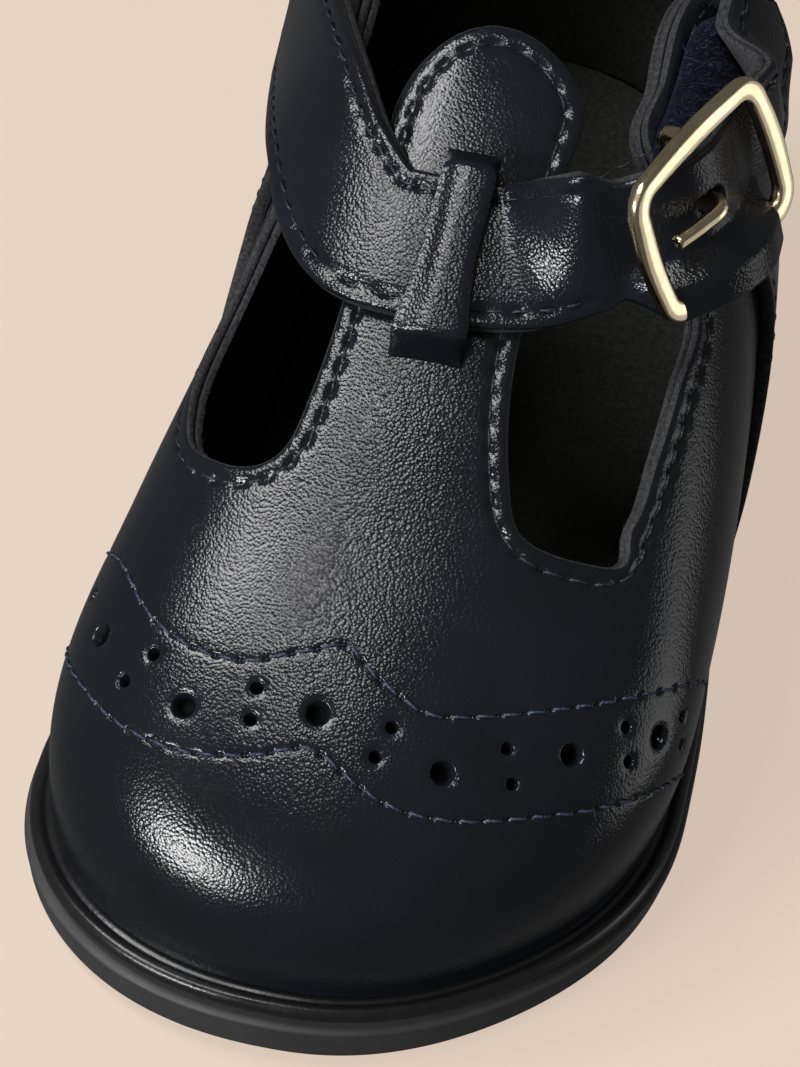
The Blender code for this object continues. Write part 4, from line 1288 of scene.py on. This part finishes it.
def rolled_bar(path, radius, sides, hollow):
    """A bent round bar whose last end is an open tube, hollow being the share of the radius left open."""
    path = np.array(path)
    at = walked(path)
    fine = np.linspace(0, at[-1], 28)
    middle = np.stack([curve_through(fine, at, path[:, k]) for k in range(3)], -1)
    way = unit(np.gradient(middle, axis=0))
    one = unit(np.array(buckle_across) - way * (way @ np.array(buckle_across))[:, None])
    two = np.cross(way, one)
    rows = [circle(middle[k], one[k], two[k], radius, sides) for k in range(len(middle))]
    end = rows[-1] - middle[-1]
    rows.append(middle[-1] + end * 0.9 + way[-1] * 0.1 * MM)
    rows.append(middle[-1] + end * hollow)
    rows.append(middle[-1] + end * hollow * 0.95 - way[-1] * 2.0 * MM)
    return np.concatenate(rows), tube_faces(len(rows), sides, capped=True)


bar_reach = inner_width / 2 + BAR_WIDTH / 2
bar_path = [
    at_buckle(0, -bar_reach, frame_level),
    at_buckle(0, -bar_reach, 2 * CENTRE_BAR_RADIUS),
    at_buckle(0, -bar_reach + CENTRE_BAR_RADIUS, CENTRE_BAR_RADIUS),
    at_buckle(0, 0, CENTRE_BAR_RADIUS),
    at_buckle(0, bar_reach - CENTRE_BAR_RADIUS, CENTRE_BAR_RADIUS),
    at_buckle(0, bar_reach, 2 * CENTRE_BAR_RADIUS),
    at_buckle(0, bar_reach, frame_level),
]
bar_way = unit(np.gradient(np.array(bar_path), axis=0))
one = np.array(buckle_along)
first = len(frame_points)
for point, way in zip(np.array(bar_path), bar_way):
    frame_points.extend(circle(point, one, np.cross(way, one), CENTRE_BAR_RADIUS, 12))
frame_faces += tube_faces(len(bar_path), 12, first)
buckle = make_object("buckle_gold", [list(p) for p in frame_points], frame_faces, (gold,),
                     sharp=60.0)
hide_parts("buckle_frame")

prong_top = BULGE_HEIGHT + STRAP_THICKNESS + GAP + PRONG_RADIUS * 1.3
prong_path = [
    at_buckle(0, 0, 2 * CENTRE_BAR_RADIUS + GAP),
    at_buckle(0, 0, prong_top - PRONG_RADIUS * 1.2),
    at_buckle(-PRONG_RADIUS, 0, prong_top),
    at_buckle(-PRONG_REACH * 0.5, 0, prong_top - PRONG_RADIUS * 0.2),
    at_buckle(-PRONG_REACH, 0, prong_top - PRONG_RADIUS * 1.2),
]
prong_points, prong_faces = rolled_bar(prong_path, PRONG_RADIUS, 18, 0.6)
prong = make_object("prong_gold", prong_points, prong_faces, (gold,), sharp=60.0)
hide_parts("buckle_prong")

# The sole and the welt, as rings of the outline. Each pair is inset and height, in millimetres.

SOLE_ANGLES = even_angles(480)[:-1]


def ring_points(inset, height_of):
    x, y = outline(SOLE_ANGLES, inset)
    return np.stack([x, y, height_of(y)], -1)


def ring_solid(name, rows, material, capped):
    """Rings joined into a solid, capped at both ends across the shoe, or closed back to the first ring."""
    count = len(SOLE_ANGLES)
    solid_faces = tube_faces(len(rows), count, looped=not capped)
    if capped:
        for base, order in ((0, -1), ((len(rows) - 1) * count, 1)):
            for k in range(count // 2):
                across = [k, k + 1, (count - k - 1) % count, (count - k) % count]
                solid_faces.append(tuple(dict.fromkeys(base + c for c in across[::order])))
    return make_object(name, np.concatenate(rows), solid_faces, (material,), sharp=60.0)


def over_floor(rise):
    return lambda y: underside_height(y) + rise * MM


def under_deck(drop):
    return lambda y: deck_height(y) - drop * MM


SOLE_FOOT = ((1.2, 0.0), (0.55, 0.1), (0.22, 0.4), (0.06, 0.9))
SOLE_RIM = ((0.0, 1.5), (-0.05, 1.3), (-0.28, 1.12), (-0.35, 0.9), (-0.34, 0.66),
            (-0.2, 0.46), (0.05, 0.34), (0.4, 0.26), (0.7, 0.1), (1.0, 0.0))
sole_rows = [ring_points(inset * MM, over_floor(rise)) for inset, rise in SOLE_FOOT]
sole_rows += [ring_points(inset * MM, under_deck(drop)) for inset, drop in SOLE_RIM]
sole = ring_solid("outsole_rubber", sole_rows, sole_rubber, True)
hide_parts("outsole")

welt_rows = []
roll_radius = (WELT_THICKNESS - GAP) / 2
roll_centre = roll_radius * 1.05
for degrees in np.linspace(-90, 75, 15):
    turn = np.radians(degrees)
    reach = roll_centre - roll_radius * np.cos(turn)
    rise = GAP + roll_radius + roll_radius * np.sin(turn)
    welt_rows.append(ring_points(reach, lambda y, rise=rise: deck_height(y) + rise))
WELT_TOP = ((1.25, 2.05), (1.45, 1.95), (1.6, 2.0), (1.75, 2.12), (1.95, 2.2), (3.9, 2.2), (4.2, 0.4))
for inset, rise in WELT_TOP:
    welt_rows.append(ring_points(inset * MM, lambda y, rise=rise: deck_height(y) + rise * MM))
welt = ring_solid("welt_rubber", welt_rows, welt_rubber, False)
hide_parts("welt")

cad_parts["insole"].data.materials.clear()
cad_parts["insole"].data.materials.append(lining)

SEWN = (("band_stitches", band_thread, thread), ("edge_stitches", edge_thread, dark_thread),
        ("quarter_stitches", quarter_thread, dark_thread))
for name, sewn, material in SEWN:
    make_object(name, sewn.points, sewn.faces, (material,))

# Floor, light and camera

floor_mesh = bpy.data.meshes.new("floor")
floor_mesh.from_pydata([(-3, -3, 0), (3, -3, 0), (3, 3, 0), (-3, 3, 0)], [], [(0, 1, 2, 3)])
floor = bpy.data.objects.new("floor", floor_mesh)
show(floor)
floor_nodes = Nodes("floor_paper")
floor_nodes.set(Base_Color=(0.2, 0.165, 0.136, 1.0), Roughness=1.0, Specular_IOR_Level=0.0)
floor_nodes.set(Emission_Color=(0.73, 0.604, 0.497, 1.0), Emission_Strength=0.86)
floor_mesh.materials.append(floor_nodes.material)
floor.visible_glossy = False
floor.visible_diffuse = False
floor.visible_shadow = False


LIGHT_AIM = Vector((0.0, -0.03, 0.03))


def area_light(name, azimuth, elevation, distance, width, height, power):
    """A soft box. Azimuth 0 stands before the toe and 90 on the outer side, in degrees."""
    turn = np.radians(azimuth)
    lift = np.radians(elevation)
    way = Vector((np.sin(turn) * np.cos(lift), -np.cos(turn) * np.cos(lift), np.sin(lift)))
    data = bpy.data.lights.new(name, "AREA")
    data.shape = "RECTANGLE"
    data.size = width
    data.size_y = height
    data.energy = power
    lamp = bpy.data.objects.new(name, data)
    lamp.location = LIGHT_AIM + way * distance
    lamp.rotation_mode = "QUATERNION"
    lamp.rotation_quaternion = way.to_track_quat("Z", "Y")
    show(lamp)
    return lamp


area_light("key", -38, 20, 0.9, 0.42, 0.18, 6.3)
area_light("top", -38, 72, 0.9, 0.18, 0.13, 1.05)
area_light("back", -90, 60, 0.9, 0.34, 0.3, 3.8)
area_light("side", 100, -5, 1.0, 0.45, 0.6, 0.85)
on_gold = bpy.data.collections.new("on_gold")
on_gold.objects.link(buckle)
on_gold.objects.link(prong)
area_light("gold_low", 95, -15, 1.0, 1.8, 1.4, 3.2).light_linking.receiver_collection = on_gold
area_light("gold_high", -30, 55, 1.0, 1.2, 1.2, 1.6).light_linking.receiver_collection = on_gold

world = bpy.data.worlds.new("studio")
world.use_nodes = True
give(world.node_tree.nodes["Background"], Color=(1.0, 0.98, 0.96, 1.0), Strength=0.10)
bpy.context.scene.world = world
bpy.context.scene.view_settings.view_transform = "Standard"

CAMERA_AZIMUTH = np.radians(4.6)
CAMERA_ELEVATION = np.radians(46.0)
CAMERA_ROLL = np.radians(6.9)
CAMERA_DISTANCE = 0.7
FOCAL_PIXELS = 7210.0
PHOTO_HEIGHT = 1067.0
CAMERA_TARGET = Vector((0.00005, -0.0297, 0.035))
forward = Vector((-np.sin(CAMERA_AZIMUTH) * np.cos(CAMERA_ELEVATION),
                  np.cos(CAMERA_AZIMUTH) * np.cos(CAMERA_ELEVATION), -np.sin(CAMERA_ELEVATION)))
level_right = Vector((np.cos(CAMERA_AZIMUTH), np.sin(CAMERA_AZIMUTH), 0))
level_up = level_right.cross(forward)
right = level_right * np.cos(CAMERA_ROLL) + level_up * np.sin(CAMERA_ROLL)
upward = level_up * np.cos(CAMERA_ROLL) - level_right * np.sin(CAMERA_ROLL)
camera_data = bpy.data.cameras.new("camera")
camera_data.sensor_width = 36.0
camera_data.lens = FOCAL_PIXELS * camera_data.sensor_width / PHOTO_HEIGHT
camera_data.clip_start = 0.05
camera_data.clip_end = 20.0
camera = bpy.data.objects.new("camera", camera_data)
camera.matrix_world = Matrix((
    (right.x, upward.x, -forward.x, 0),
    (right.y, upward.y, -forward.y, 0),
    (right.z, upward.z, -forward.z, 0),
    (0, 0, 0, 1),
))
camera.location = CAMERA_TARGET - forward * CAMERA_DISTANCE
show(camera)
bpy.context.scene.camera = camera
